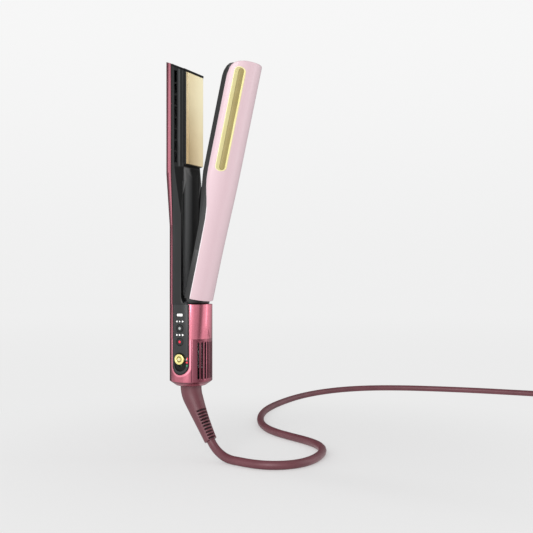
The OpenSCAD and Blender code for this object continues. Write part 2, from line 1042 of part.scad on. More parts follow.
function boot_ring(s, dent) =
    let (p = boot_place(s), lean = boot_lean(s))
    [
        for (j = [0:boot_sides - 1])
            let (a = 360 * j / boot_sides, r = lookup(s, boot_radius) - (in_slot(a) ? dent : 0))
            [
                p.x + r * cos(a) * cos(lean),
                -r * sin(a),
                boot_top + p.y + r * cos(a) * sin(lean)
            ]
    ];

module strain_relief() {
    color("#8a5661")
        rotate([0, 0, boot_heading])
            skin([for (ring = boot_rings) boot_ring(ring[0], ring[1])]);
}

// Cord: its free stretch, the stored coil, ties and plug

// A smooth curve through the route's points
function curve(a, b, c, d, t) =
    0.5 * (2 * b + (c - a) * t + (2 * a - 5 * b + 4 * c - d) * t * t
        + (3 * b - a - 3 * c + d) * t * t * t);

function smooth(route, before, after, steps) =
    let (p = concat([before], route, [after]))
    concat(
        [
            for (i = [1:len(route) - 1], k = [0:steps - 1])
                curve(p[i - 1], p[i], p[i + 1], p[i + 2], k / steps)
        ],
        [route[len(route) - 1]]
    );

function unit(v) = v / norm(v);

// Rings square to a line of points, with given directions at both ends
function rings_along(line, r, sides, first, last) =
    [
        for (i = [0:len(line) - 1])
            let (
                along = i == 0 ? first : i == len(line) - 1 ? last : unit(line[i + 1] - line[i - 1]),
                across = unit(cross(along, [0, 0, 1])),
                up = cross(across, along)
            )
            [
                for (j = [0:sides - 1])
                    let (a = -360 * (j + 0.5) / sides)
                    line[i] + r * (cos(a) * across + sin(a) * up)
            ]
    ];

boot_tip = boot_place(boot_length);
exit_point = [
    boot_tip.x * cos(boot_heading), boot_tip.x * sin(boot_heading), boot_top + boot_tip.y
];
exit_lean = boot_lean(boot_length);
exit_dir = [
    sin(exit_lean) * cos(boot_heading), sin(exit_lean) * sin(boot_heading), -cos(exit_lean)
];
coil_start = cord_route[len(cord_route) - 1];
free_line = smooth(
    concat([exit_point], cord_route), exit_point - 9 * exit_dir, coil_start + [50, 0, 0], 2
);

module cord() {
    color("#7d525c")
        skin(rings_along(free_line, cord_d / 2, 10, exit_dir, [1, 0, 0]));
}

// Turns go clockwise from the far side: in on the low layer, out again on the high one
function coil_climb(t) =
    let (u = (t - coil_turns / 2 + 0.25) / 0.5)
    u <= 0 ? 0 : u >= 1 ? 1 : (1 - cos(180 * u)) / 2;

function coil_point(t) =
    let (a = 90 - 360 * t, r = coil_inner_r + turn_pitch * abs(t - coil_turns / 2))
    [
        coil_mid.x + r * cos(a), coil_mid.y + r * sin(a),
        coil_low + layer_rise * coil_climb(t)
    ];

coil_steps = 24 * coil_turns;
coil_turn_points = [for (i = [0:coil_steps]) coil_point(i / 24)];
coil_end = coil_point(coil_turns) + [0, -cord_d, 0];
coil_line = concat([coil_start], coil_turn_points, [coil_end]);

module cord_coil() {
    color("#7d525c")
        skin(rings_along(coil_line, cord_d / 2, 6, [1, 0, 0], [0, -1, 0]));
}

// Least distance between turns that lie at least half a turn apart, less the diameter
coil_gap = min([
    for (i = [0:coil_steps], j = [i + 12:coil_steps])
        norm(coil_turn_points[i] - coil_turn_points[j])
]) - cord_d;
function line_length(line) =
    [for (i = [1:len(line) - 1]) norm(line[i] - line[i - 1])] * [for (i = [1:len(line) - 1]) 1];
echo(coil_gap = coil_gap, free_cord = line_length(free_line), coil_cord = line_length(coil_line));
echo(boot_length = boot_length, exit_point = exit_point, exit_dir = exit_dir);

// A band round the coil's turns where it crosses a given direction
module coil_tie(angle) {
    reach = [
        for (i = [0:coil_steps])
            if (abs(sin((90 - 15 * i - angle) / 2)) < 0.14)
                norm([coil_turn_points[i].x - coil_mid.x, coil_turn_points[i].y - coil_mid.y])
    ];
    low = min(reach) - cord_d / 2 - 0.5;
    high = max(reach) + cord_d / 2 + 0.5;
    top = coil_high + cord_d / 2 + 0.4;
    color("#4a4a4d")
        translate([coil_mid.x, coil_mid.y, 0])
            rotate([0, 0, angle])
                difference() {
                    box([low - tie_t, -tie_w / 2, floor_z], [high + tie_t, tie_w / 2, top + tie_t]);
                    box([low, -tie_w, floor_z + tie_t], [high, tie_w, top]);
                }
}

module coil_tie_1() {
    coil_tie(45);
}

module coil_tie_2() {
    coil_tie(225);
}

// Plug pieces point along -Y from the coil's end
module at_plug(y) {
    translate(coil_end + [0, -y, 0])
        rotate([90, 0, 0])
            children();
}

module plug_relief() {
    color("#7d525c")
        at_plug(0)
            cylinder(r1 = cord_d / 2 + 0.7, r2 = cord_d / 2 + 3.2, h = plug_relief_l);
}

module plug_body() {
    color("#7d525c")
        at_plug(plug_relief_l)
            difference() {
                union() {
                    cylinder(r1 = 10.5, r2 = plug_r, h = 9);
                    translate([0, 0, 8])
                        linear_extrude(plug_l - 8)
                            union() {
                                for (side = [-1, 1])
                                    translate([side * (plug_w / 2 - plug_r), 0])
                                        circle(r = plug_r);
                                square([plug_w - 2 * plug_r, 2 * plug_r], center = true);
                            }
                }
                for (side = [-1, 1])
                    translate([side * pin_spacing / 2, 0, plug_l - 8])
                        cylinder(r = plug_core_r + 0.02, h = 9);
            }
}

module plug_pin(side) {
    color("#c8cacc")
        at_plug(plug_relief_l + plug_l)
            translate([side * pin_spacing / 2, 0, 0])
                union() {
                    translate([0, 0, -7.9])
                        cylinder(r = plug_core_r, h = 8.2);
                    cylinder(r = plug_pin_r, h = plug_pin_l - plug_pin_r);
                    translate([0, 0, plug_pin_l - plug_pin_r])
                        sphere(r = plug_pin_r);
                }
}

module plug_pin_1() {
    plug_pin(-1);
}

module plug_pin_2() {
    plug_pin(1);
}

base_housing();
control_panel();
light_bar();
upper_lights();
lower_lights();
main_board();
chassis();
fan_motor();
motor_mount();
fan_shroud();
fixed_cover();
fixed_shell();
fixed_plate();
fixed_heater();
fixed_tip();
air_heater();
thermal_fuse();
fixed_wires();
hinge_fork();
hinge_pin();
hinge_spring();
mode_button();
heat_button();
slide_switch();
impeller();
filter_cage();
filter_mesh();
moving_cover();
moving_lip();
plate_frame();
arm_end();
hinge_knuckle();
slot_lining();
upper_spring();
lower_spring();
spring_bridge();
moving_wires();
moving_plate();
moving_heater();
swivel_collar();
slip_ring();
strain_relief();
cord();
cord_coil();
coil_tie_1();
coil_tie_2();
plug_relief();
plug_body();
plug_pin_1();
plug_pin_2();
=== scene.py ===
# %% [markdown]
# # A wet-to-dry hair straightener
# The real tool is a round handle with a fan in it, which splits into two arms with
# gold heater plates. Its construction was made in CAD and arrives here as the frame:
# solids at their real size, grouped into the bodies that move. This lesson gives each
# surface its finish, models the pieces that want more than the solid shows, and lights
# the scene as in a product photograph. Sizes in the text are in millimetres, and one
# factor turns them into Blender's metres.

# %% Load the frame
import json
import math
import bmesh
import bpy
from mathutils import Matrix, Vector


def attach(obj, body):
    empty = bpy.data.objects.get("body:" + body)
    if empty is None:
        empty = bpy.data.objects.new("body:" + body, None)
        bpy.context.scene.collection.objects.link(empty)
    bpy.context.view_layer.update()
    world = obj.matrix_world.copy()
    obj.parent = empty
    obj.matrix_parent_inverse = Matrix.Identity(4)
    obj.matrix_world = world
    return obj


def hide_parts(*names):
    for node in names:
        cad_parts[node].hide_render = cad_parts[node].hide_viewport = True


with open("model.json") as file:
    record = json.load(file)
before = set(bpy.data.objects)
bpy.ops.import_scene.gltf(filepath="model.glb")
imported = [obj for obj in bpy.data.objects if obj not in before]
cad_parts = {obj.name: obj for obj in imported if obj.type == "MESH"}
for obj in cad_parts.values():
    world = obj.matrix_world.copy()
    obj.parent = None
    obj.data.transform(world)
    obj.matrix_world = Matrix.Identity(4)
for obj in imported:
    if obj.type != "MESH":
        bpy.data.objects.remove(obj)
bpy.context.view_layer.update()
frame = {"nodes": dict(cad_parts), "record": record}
MM = 0.001

# %% [markdown]
# ## Camera
# The photograph's perspective was solved from the tool's upright edges: a level camera,
# 0.8 m away, with its horizon 13.5 pixels under the middle of the frame. A small shift
# of the lens puts the horizon there, so the upright edges stay parallel.

# %% Camera
FRAME_PX = 533
FOCAL_PX = 800
HORIZON_DROP_PX = 13.5
SENSOR_MM = 36
EYE = (0.4398, -0.6725, 0.064)
AZIMUTH = 27.8

camera_data = bpy.data.cameras.new("camera")
camera = bpy.data.objects.new("camera", camera_data)
bpy.context.scene.collection.objects.link(camera)
camera_data.sensor_width = SENSOR_MM
camera_data.lens = SENSOR_MM * FOCAL_PX / FRAME_PX
camera_data.shift_y = HORIZON_DROP_PX / FRAME_PX
camera_data.clip_start = 0.01
camera.location = EYE
camera.rotation_euler = (math.radians(90), 0, math.radians(AZIMUTH))
bpy.context.scene.camera = camera
bpy.context.scene.view_settings.view_transform = "Standard"
print("camera lens:", round(camera_data.lens, 1), "mm")

# %% [markdown]
# ## Shader maths as Python
# A material is a small program of nodes. To keep it readable, one class wraps a socket
# and overloads the operators, so that a sum of two values adds its Math node by itself.
# A second class owns the node tree and makes every other node in one way: its type, its
# settings, then what goes into its sockets.

# %% Values and trees
class Value:
    """A number, colour or vector that comes out of a node."""

    def __init__(self, tree, socket):
        self.tree = tree
        self.socket = socket

    def __add__(self, other):
        return self.tree.number("ADD", self, other)

    __radd__ = __add__

    def __mul__(self, other):
        return self.tree.number("MULTIPLY", self, other)

    __rmul__ = __mul__

    def __sub__(self, other):
        return self.tree.number("SUBTRACT", self, other)

    def __rsub__(self, other):
        return self.tree.number("SUBTRACT", other, self)


class Nodes:
    """A node tree, and one method that adds any node to it."""

    def __init__(self, tree):
        self.tree = tree

    def feed(self, socket, value):
        if isinstance(value, Value):
            self.tree.links.new(value.socket, socket)
        elif socket.type == "RGBA" and len(value) == 3:
            socket.default_value = (*value, 1)
        else:
            socket.default_value = value

    def node(self, kind, settings=None, inputs=None, out=0):
        made = self.tree.nodes.new(kind)
        for name, value in (settings or {}).items():
            if name == "stops":
                self.set_stops(made.color_ramp, value)
            else:
                setattr(made, name, value)
        for name, value in (inputs or {}).items():
            self.feed(made.inputs[name], value)
        return Value(self, made.outputs[out])

    def set_stops(self, ramp, stops):
        while len(ramp.elements) < len(stops):
            ramp.elements.new(1)
        for element, (place, colour) in zip(ramp.elements, stops):
            element.position = place
            element.color = (*colour, 1)

    def number(self, operation, *values):
        return self.node("ShaderNodeMath", {"operation": operation}, dict(enumerate(values)))

    def larger(self, first, second):
        return self.number("MAXIMUM", first, second)

    def absolute(self, value):
        return self.number("ABSOLUTE", value)

    def hypot(self, across, up):
        """The length of two steps at a right angle."""
        return self.number("SQRT", across * across + up * up)

    def step(self, value, low, high):
        """0 where a value is at low, 1 at high, and a soft slope between."""
        inputs = {"Value": value, "From Min": low, "From Max": high}
        return self.node("ShaderNodeMapRange", {"interpolation_type": "SMOOTHSTEP"}, inputs)

    def tint(self, factor, first, second):
        """A colour between two, by a factor from 0 to 1."""
        return self.node("ShaderNodeMix", {"data_type": "RGBA"}, {0: factor, 6: first, 7: second}, out=2)

    def ramp(self, factor, *stops):
        return self.node("ShaderNodeValToRGB", {"stops": stops}, {"Fac": factor})

    def parts(self, vector):
        """The x, y and z of a vector."""
        made = self.node("ShaderNodeSeparateXYZ", None, {"Vector": vector})
        return [Value(self, socket) for socket in made.socket.node.outputs]


def rgb(red, green, blue):
    """A colour as a screen shows it, from 0 to 255, in the linear numbers that Blender uses."""
    parts = [c / 255 for c in (red, green, blue)]
    return tuple(c / 12.92 if c < 0.04045 else ((c + 0.055) / 1.055) ** 2.4 for c in parts)


print("shader classes ready")

# %% [markdown]
# A finish is a tree around one Principled shader. What is the same all over a surface is
# written on the shader's own sockets, and what changes reaches it through a link. Patterns
# read the piece's own coordinates in metres, so a grain keeps its real size on any piece.
# Where a tone ends at a certain place, the edge is given in millimetres.

# %% Finishes
class Finish(Nodes):
    """A material with one Principled shader."""

    def __init__(self, name, colour, **sockets):
        self.name = name
        self.material = bpy.data.materials.new(name)
        self.material.use_nodes = True
        super().__init__(self.material.node_tree)
        self.shader = self.tree.nodes["Principled BSDF"]
        self.set(Base_Color=colour, **sockets)

    def set(self, **sockets):
        for name, value in sockets.items():
            self.feed(self.shader.inputs[name.replace("_", " ")], value)

    def place(self, scale=(1, 1, 1), turn=(0, 0, 0), shift=(0, 0, 0)):
        """The piece's own coordinates, shifted, turned and stretched."""
        point = self.node("ShaderNodeTexCoord", out="Object")
        inputs = {"Vector": point, "Scale": scale, "Rotation": turn, "Location": shift}
        return self.node("ShaderNodeMapping", None, inputs)

    def noise(self, size, detail=2, rough=0.5, stretch=(1, 1, 1)):
        """Noise from 0 to 1 whose spots are about size metres across."""
        inputs = {"Vector": self.place(stretch), "Scale": 1 / size, "Detail": detail, "Roughness": rough}
        return self.node("ShaderNodeTexNoise", None, inputs)

    def own_place(self):
        """The x, y and z of a place on the piece, in metres."""
        return self.parts(self.node("ShaderNodeTexCoord", out="Object"))

    def own_normal(self):
        """The x, y and z of the way that the surface faces."""
        return self.parts(self.node("ShaderNodeTexCoord", out="Normal"))

    def past(self, place, edge, border):
        """0 up to an edge in millimetres, 1 past its border. A negative border counts down."""
        return self.step(place, edge * MM, (edge + border) * MM)

    def fed(self, name):
        """What already goes into one of the shader's sockets."""
        return Value(self, self.shader.inputs[name].links[0].from_socket)

    def bump(self, height, depth):
        """Relief of a depth in metres."""
        return self.node("ShaderNodeBump", None, {"Height": height, "Distance": depth, "Strength": 1.0})


print("finish class ready")

# %% [markdown]
# ## A plain studio
# The backdrop is a pale grey that gets a little darker downwards, and the floor ends in
# the same grey, so no horizon shows. The world does three things at once: the camera sees
# the backdrop, diffuse light comes evenly from all sides, and glossy coats reflect a light
# tent. Its walls are bright in front and behind the tool's right side, with dark gaps
# between, and those gaps draw the upright streaks on a round metallic barrel. The tent gets
# dimmer towards its roof, so that slanted tops don't shine.

# %% World
PALE = rgb(241, 241, 241)
BACKDROP_TOP = rgb(247, 247, 247)
BACKDROP_LOW = rgb(239, 239, 239)
FLOOR_NEAR = rgb(235, 235, 235)
SOFT_LIGHT = 0.7
ROOF_DIMMING = 0.6
TENT_PEAK = 2
TENT = (
    (-180, 1.1), (-170, 1.1), (-160, 0.6), (-152, 1.0), (-138, 1.15), (-108, 1.15), (-96, 1.7),
    (-84, 1.9), (-60, 2.0), (-52, 1.6), (-44, 1.2), (-30, 0.85), (-20, 0.7), (-11, 0.2), (-4, 0.25),
    (3, 0.7), (10, 1.3), (18, 1.55), (28, 1.38), (36, 1.36), (44, 1.4), (56, 1.2), (70, 0.85),
    (90, 0.5), (110, 0.2), (135, 0.05), (163, 0.06), (172, 0.4), (178, 1.0), (180, 1.1),
)


def tent_wall(nodes, x, y):
    """Brightness of the light tent in the direction of x and y, from its angle in degrees."""
    turn = nodes.number("ARCTAN2", y, x)
    stops = [((angle + 180) / 360, (level / TENT_PEAK,) * 3) for angle, level in TENT]
    return TENT_PEAK * nodes.ramp(turn * (0.5 / math.pi) + 0.5, *stops)


world = bpy.data.worlds.new("studio")
bpy.context.scene.world = world
world.use_nodes = True
sky = Nodes(world.node_tree)
way = sky.node("ShaderNodeTexCoord", out="Generated")
way_x, way_y, way_z = sky.parts(way)
roof = sky.step(way_z, 0.3, 0.6)
tent = tent_wall(sky, way_x, way_y) * (1 - ROOF_DIMMING * roof)
backdrop = sky.tint(sky.step(way_z, -0.06, 0.36), BACKDROP_LOW, BACKDROP_TOP)
seen = sky.node("ShaderNodeLightPath", out="Is Camera Ray")
glossy = sky.node("ShaderNodeLightPath", out="Is Glossy Ray")
clear = sky.node("ShaderNodeLightPath", out="Is Transmission Ray")
direct = sky.number("MAXIMUM", seen, clear)
background = sky.tree.nodes["Background"]
sky.feed(background.inputs["Color"], sky.tint(direct, PALE, backdrop))
unseen = glossy * tent + (1 - glossy) * SOFT_LIGHT
sky.feed(background.inputs["Strength"], direct + (1 - direct) * unseen)
print("tent walls:", len(TENT), "stops")

# %% [markdown]
# Three soft lamps add what a tent alone can't: a crisp line on each rim. Two tall strips
# stand left and right, slightly behind the tool, and a broad lamp hangs in front. The left
# one is for the matte rims only, so glossy coats don't mirror it.

# %% Lamps
def lamp(name, place, target, width, height, watts, mirrored=True):
    """A soft rectangular lamp that points from one place to another, in metres."""
    data = bpy.data.lights.new(name, "AREA")
    data.shape = "RECTANGLE"
    data.size = width
    data.size_y = height
    data.energy = watts
    made = bpy.data.objects.new(name, data)
    bpy.context.scene.collection.objects.link(made)
    made.location = place
    made.visible_glossy = mirrored
    made.rotation_mode = "QUATERNION"
    made.rotation_quaternion = (Vector(target) - Vector(place)).to_track_quat("-Z", "Y")


MIDDLE = (0, 0, 0.09)
lamp("left_strip", (-0.95, 0.1, 0.25), MIDDLE, 0.2, 1.2, 3, mirrored=False)
lamp("right_strip", (0.85, 0.5, 0.25), MIDDLE, 0.22, 1.2, 1)
lamp("front_soft", (0.35, -1.6, 0.7), MIDDLE, 0.9, 1.2, 13)
print("lamps:", len(bpy.data.lights))

# %% [markdown]
# The floor takes the tool's soft shadow near it and turns into the backdrop's own light
# further out. One factor, the distance from a spot beside the tool, mixes the two. Glossy
# coats see the tent's walls carried on over the floor, so their streaks run down unbroken.

# %% Floor
FLOOR_Z = -113
FLOOR_HALF = 6
SHADOW_SPOT = (0.06, 0.05)

floor_data = bpy.data.meshes.new("floor")
corners = [(x * FLOOR_HALF, y * FLOOR_HALF, FLOOR_Z * MM) for x, y in ((-1, -1), (1, -1), (1, 1), (-1, 1))]
floor_data.from_pydata(corners, [], [(0, 1, 2, 3)])
floor = bpy.data.objects.new("floor", floor_data)
bpy.context.scene.collection.objects.link(floor)

floor_finish = Finish("floor_sheet", rgb(246, 246, 246), Roughness=0.6, Specular_IOR_Level=0.2)
floor_x, floor_y = floor_finish.own_place()[:2]
away = floor_finish.hypot(floor_x - SHADOW_SPOT[0], floor_y - SHADOW_SPOT[1])
blend = 0.45 + 0.55 * floor_finish.step(away, 0.1, 0.45)
far_tint = floor_finish.tint(floor_finish.step(away, 0.2, 3.5), FLOOR_NEAR, BACKDROP_LOW)
in_mirror = floor_finish.node("ShaderNodeLightPath", out="Is Glossy Ray")
strength = (1 - in_mirror) + in_mirror * tent_wall(floor_finish, floor_x, floor_y)
glow = floor_finish.node("ShaderNodeEmission", None, {"Color": far_tint, "Strength": strength})
painted_floor = Value(floor_finish, floor_finish.shader.outputs[0])
surface = floor_finish.node("ShaderNodeMixShader", None, {0: blend, 1: painted_floor, 2: glow})
floor_finish.feed(floor_finish.tree.nodes["Material Output"].inputs["Surface"], surface)
floor_data.materials.append(floor_finish.material)
print("floor at", FLOOR_Z, "mm")

# %% [markdown]
# ## Helpers for meshes
# Most pieces of this tool are long and round, so two helpers serve them: one joins closed
# rings into a bar or tube, the other joins rows of points into an open sheet. Points are
# written in millimetres and turned into metres as the mesh is made.

# %% Rings, sheets and plain results
def add_object(name, data):
    """An object in the scene that shows some data."""
    made = bpy.data.objects.new(name, data)
    bpy.context.scene.collection.objects.link(made)
    return made


def mesh_object(name, points, faces, smooth_below=35):
    """A mesh object from millimetre points, shaded smooth over edges less than so many degrees."""
    data = bpy.data.meshes.new(name)
    data.from_pydata([tuple(c * MM for c in p) for p in points], [], faces)
    data.validate()
    data.shade_smooth()
    data.set_sharp_from_angle(angle=math.radians(smooth_below))
    return add_object(name, data)


def bridge(rings, capped=True):
    """Points and faces of a bar through closed rings, with its ends filled."""
    n = len(rings[0])
    points = [p for ring in rings for p in ring]
    faces = [
        (i * n + j, i * n + (j + 1) % n, (i + 1) * n + (j + 1) % n, (i + 1) * n + j)
        for i in range(len(rings) - 1)
        for j in range(n)
    ]
    if capped:
        faces += [tuple(reversed(range(n))), tuple(range((len(rings) - 1) * n, len(rings) * n))]
    return points, faces


def sheet(rows):
    """Points and faces of an open sheet through rows of points."""
    n = len(rows[0])
    points = [p for row in rows for p in row]
    faces = [
        (i * n + j, i * n + j + 1, (i + 1) * n + j + 1, (i + 1) * n + j)
        for i in range(len(rows) - 1)
        for j in range(n - 1)
    ]
    return points, faces


def modify(piece, kind, **settings):
    """Adds a modifier with its settings."""
    made = piece.modifiers.new(kind.lower(), kind)
    for name, value in settings.items():
        setattr(made, name, value)
    return made


def settle(piece, smooth_below=35):
    """Turns a piece with modifiers into a plain mesh."""
    graph = bpy.context.evaluated_depsgraph_get()
    graph.update()
    data = bpy.data.meshes.new_from_object(piece.evaluated_get(graph))
    data.name = piece.name
    piece.modifiers.clear()
    piece.data = data
    data.shade_smooth()
    data.set_sharp_from_angle(angle=math.radians(smooth_below))
    return piece


def dress(piece, finish, body, slot, *nodes):
    """Gives a new piece its finish, its body and the solids it stands for. The slot argument is not used."""
    piece.data.materials.clear()
    piece.data.materials.append(finish.material)
    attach(piece, body)
    if nodes:
        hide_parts(*nodes)
    return piece


def ease(low, high, value):
    """0 below low, 1 above high, and a soft step between."""
    t = min(max((value - low) / (high - low), 0), 1)
    return t * t * (3 - 2 * t)


def lookup(table, value):
    """A value between the rows of a table of two columns."""
    for (x0, y0), (x1, y1) in zip(table, table[1:]):
        if value <= x1:
            return y0 + (y1 - y0) * max(value - x0, 0) / (x1 - x0)
    return table[-1][1]


def soft(table, value, reach):
    """The same with its kinks rounded over a reach on either side."""
    return sum(lookup(table, value + reach * k / 4) for k in range(-4, 5)) / 9


print("mesh helpers ready")

# %% [markdown]
# ## Finishes
# Nothing on this tool is one flat colour. Painted shells carry fine metal flake, moulded
# plastic keeps the spark-eroded grain of its mould, plates are ground lengthwise, and
# turned parts show rings. Most finishes share one idea: a fine grain that moves the gloss
# and the relief together, and a slow drift of the colour over centimetres. The black
# plastic is coal, so dark that nearly all its tones come from what it mirrors.

# %% Grain that most finishes share
COAL = (rgb(17, 18, 19), rgb(24, 25, 26))


def grained(name, dark, light, size, depth, gloss, **sockets):
    """A finish whose colour drifts between two tones, with a fine grain in gloss and relief."""
    made = Finish(name, light, **sockets)
    grain = made.noise(size, 3, 0.6)
    drift = made.noise(0.03, 2)
    made.set(
        Base_Color=made.tint(made.step(drift, 0.3, 0.7), dark, light),
        Roughness=gloss[0] + (gloss[1] - gloss[0]) * grain,
        Normal=made.bump(grain, depth),
    )
    return made


matte_black = grained("matte_black", *COAL, 0.0003, 0.000008, (0.26, 0.38))
dark_frame = grained("dark_frame", rgb(46, 46, 49), rgb(56, 56, 59), 0.0007, 0.00004, (0.45, 0.65))
tip_black = grained("tip_black", *COAL, 0.0003, 0.00002, (0.6, 0.8), Specular_IOR_Level=0.2)
button_tones = (rgb(42, 43, 44), rgb(50, 51, 52))
button_black = grained("button_black", *button_tones, 0.0002, 0.00001, (0.4, 0.55), Specular_IOR_Level=0.2)
fan_white = grained("fan_white", rgb(214, 214, 208), rgb(226, 226, 222), 0.0012, 0.00003, (0.35, 0.5))
cord_rose = grained("cord_rose", rgb(106, 58, 66), rgb(118, 68, 76), 0.0004, 0.00002, (0.34, 0.5))
slot_shade = grained("slot_shade", rgb(40, 20, 25), rgb(52, 28, 34), 0.0004, 0.00002, (0.6, 0.75))
# The bare black inside of shells; on the cage's slot walls the same black is painted shade.
inner_tones = (rgb(9, 9, 10), rgb(14, 14, 15))
inner_black = grained("inner_black", *inner_tones, 0.0006, 0.00002, (0.6, 0.8), Specular_IOR_Level=0.2)
print("materials so far:", len(bpy.data.materials))

# %% [markdown]
# The rose coat is a metallic paint: flakes of many small brightnesses in a pink base,
# under a thin clear coat. A Voronoi pattern gives every cell one value, as flakes do. The
# inside of a painted shell stays bare black plastic. The paint can tell the two sides
# apart by the normal, which points away from the handle's axis on the outside only. The
# cage is a duskier rose, and the cone under its slots is paler than its wall: painted light
# on that sloping ring.

# %% Metallic paints
def painted(name, low, high, flake, metal, gloss):
    """Metallic paint over black plastic, which is bare on the side that faces the axis."""
    made = Finish(name, high, Coat_Weight=0.16, Coat_Roughness=0.12)
    cells = made.node("ShaderNodeTexVoronoi", None, {"Vector": made.place(), "Scale": 1 / flake}, out="Color")
    sparkle, tilt = made.parts(cells)[:2]
    drift = made.noise(0.04, 2)
    normal_x, normal_y = made.own_normal()[:2]
    place_x, place_y = made.own_place()[:2]
    inward = made.step(normal_x * place_x + normal_y * place_y, 0, -0.002)
    paint = made.tint(made.step(sparkle * 0.7 + drift * 0.3, 0.2, 0.8), low, high)
    made.set(
        Base_Color=made.tint(inward, paint, rgb(24, 24, 25)),
        Metallic=metal * (1 - inward),
        Roughness=gloss + 0.06 * tilt + 0.3 * inward,
        Normal=made.bump(sparkle, 0.000002),
    )
    return made


ROSE = (rgb(198, 108, 126), rgb(218, 131, 147))
DUSTY = (rgb(128, 64, 78), rgb(146, 80, 94))
rose_coat = painted("rose_coat", *ROSE, 0.00022, 0.85, 0.13)
dusty_rose = painted("dusty_rose", *DUSTY, 0.00018, 0.7, 0.16)
# The paler cone is painted light.
on_cone = dusty_rose.past(dusty_rose.own_place()[2], -37.2, -1.6)
cone_light_tone = dusty_rose.tint(0.7 * on_cone, dusty_rose.fed("Base Color"), ROSE[1])
dusty_rose.set(Base_Color=cone_light_tone)
print("paints: rose_coat, dusty_rose")

# %% [markdown]
# On the housing the bright rose ends at the cage. Below it a paler rim round the panel is a
# painted highlight, and outside that rim the colour turns towards the cage's dusty tone, most
# on the flanks: painted shade. The place tells which it is: how far it lies from the middle
# line of the panel's round end.

# %% Painted highlight and shade on the housing
PANEL_X = 0.5
PANEL_ROUND_Z = -19.5


def panel_place(finish):
    """The distance from the panel's middle line, the way aside from it, and the height."""
    x, y, z = finish.own_place()
    aside = x - PANEL_X * MM
    below = finish.number("MINIMUM", z - PANEL_ROUND_Z * MM, 0.0)
    return finish.hypot(aside, below), aside, z


housing_coat = painted("housing_coat", *ROSE, 0.00022, 0.85, 0.13)
from_panel, aside, housing_z = panel_place(housing_coat)
below_seam = housing_coat.past(housing_z, 5.9, -0.4)
on_flank = housing_coat.past(housing_coat.absolute(aside), 7.5, 3.5)
# Painted shade towards the cage's dusty tone, and a painted highlight on the rim round the panel.
flank_shade = below_seam * housing_coat.past(from_panel, 11.2, 1.2) * (0.3 + 0.6 * on_flank)
rim_highlight = below_seam * housing_coat.past(from_panel, 11.6, -0.7)
highlit_rim_tone = housing_coat.tint(rim_highlight, housing_coat.fed("Base Color"), rgb(244, 150, 168))
housing_coat.set(Base_Color=housing_coat.tint(flank_shade, highlit_rim_tone, DUSTY[1]))
print("housing paint ready")

# %% [markdown]
# The moving arm is pearl: a pale pink lacquer whose mica shows only as a faint shimmer.
# It is not metallic, so its colour stays even, and a clear coat draws the rim's highlight.
# Only the round along its front edge is nearly white: a painted highlight.

# %% Pearl lacquer
pale_pink = Finish("pale_pink", rgb(229, 200, 207), Coat_Roughness=0.1, Specular_IOR_Level=0.4)
mica_cells = {"Vector": pale_pink.place(), "Scale": 1 / 0.0003}
mica_tone = pale_pink.node("ShaderNodeTexVoronoi", None, mica_cells, out="Color")
mica, mica_tilt = pale_pink.parts(mica_tone)[:2]
pearl_drift = pale_pink.noise(0.05, 2)
pale_pink.set(
    Base_Color=pale_pink.tint(0.5 * mica + 0.5 * pearl_drift, rgb(225, 194, 202), rgb(234, 206, 213)),
    Roughness=0.3 + 0.08 * mica_tilt,
    Coat_Weight=0.3 + 0.1 * mica,
    Normal=pale_pink.bump(mica, 0.0000015),
)
# The near-white round along the front edge is a painted highlight.
edge_highlight_tones = (rgb(248, 238, 241), rgb(253, 245, 248))
pale_edge = grained("pale_edge", *edge_highlight_tones, 0.0004, 0.000004, (0.16, 0.24), Metallic=0.34)
print("pearl lacquer ready")

# %% [markdown]
# The control panel is glossy black polycarbonate, moulded against a polished tool. What
# breaks its mirror are wide, hardly visible waves and a few hair-fine scratches: stretched
# noise, cut off so that only its crests are left. A dark border along its edge and round
# the track of the switch is painted shade, and its outermost rim has the housing's rose.

# %% Glossy black
BORDER_START = 8
RIM_START = 9.3
TRACK_ENDS = (-18.6, -13.8)
TRACK_HALF = 7

gloss_black = Finish("gloss_black", rgb(48, 49, 50), Coat_Roughness=0.12, Specular_IOR_Level=0.3)
waves = gloss_black.noise(0.012, 2)
dust = gloss_black.noise(0.0005, 3)
hairs = gloss_black.step(gloss_black.noise(0.002, 2, 0.5, (8, 8, 0.4)), 0.72, 0.76)
from_middle, aside, panel_z = panel_place(gloss_black)
past_ends = gloss_black.larger(TRACK_ENDS[0] * MM - panel_z, panel_z - TRACK_ENDS[1] * MM)
from_track = gloss_black.hypot(aside, gloss_black.larger(past_ends, 0.0))
round_track = gloss_black.past(from_track, TRACK_HALF, -0.3)
# Painted shade: a dark border along the edge and round the switch's track.
edge_and_track_shade = gloss_black.larger(gloss_black.past(from_middle, BORDER_START, 0.4), round_track)
rose_rim = gloss_black.past(from_middle, RIM_START, 0.3)
inner_tone = gloss_black.tint(dust, rgb(46, 47, 48), rgb(53, 54, 55))
face_tone = gloss_black.tint(edge_and_track_shade, inner_tone, rgb(10, 12, 12))
gloss_black.set(
    Base_Color=gloss_black.tint(rose_rim, face_tone, ROSE[1]),
    Metallic=0.8 * rose_rim,
    Roughness=0.34 + 0.08 * dust + 0.1 * hairs + 0.3 * edge_and_track_shade * (1 - rose_rim),
    Coat_Weight=(0.12 - 0.08 * hairs) * (1 - edge_and_track_shade),
    Normal=gloss_black.bump(waves + 0.02 * dust, 0.00003),
)
print("glossy black ready")

# %% [markdown]
# The fixed arm's shell has the same grain as the other black parts, but several painted
# tones. Its vents sit in a band of deep black on the bevel beside the plate, painted shade
# for their depth. The ridges beside that band are painted highlight and shade: a ramp of
# greys, one centimetre long, from its middle line outwards. The size of Y alone counts, so
# both sides are the same. The ledge, the seams and the bevel below the head are darker:
# painted shade.

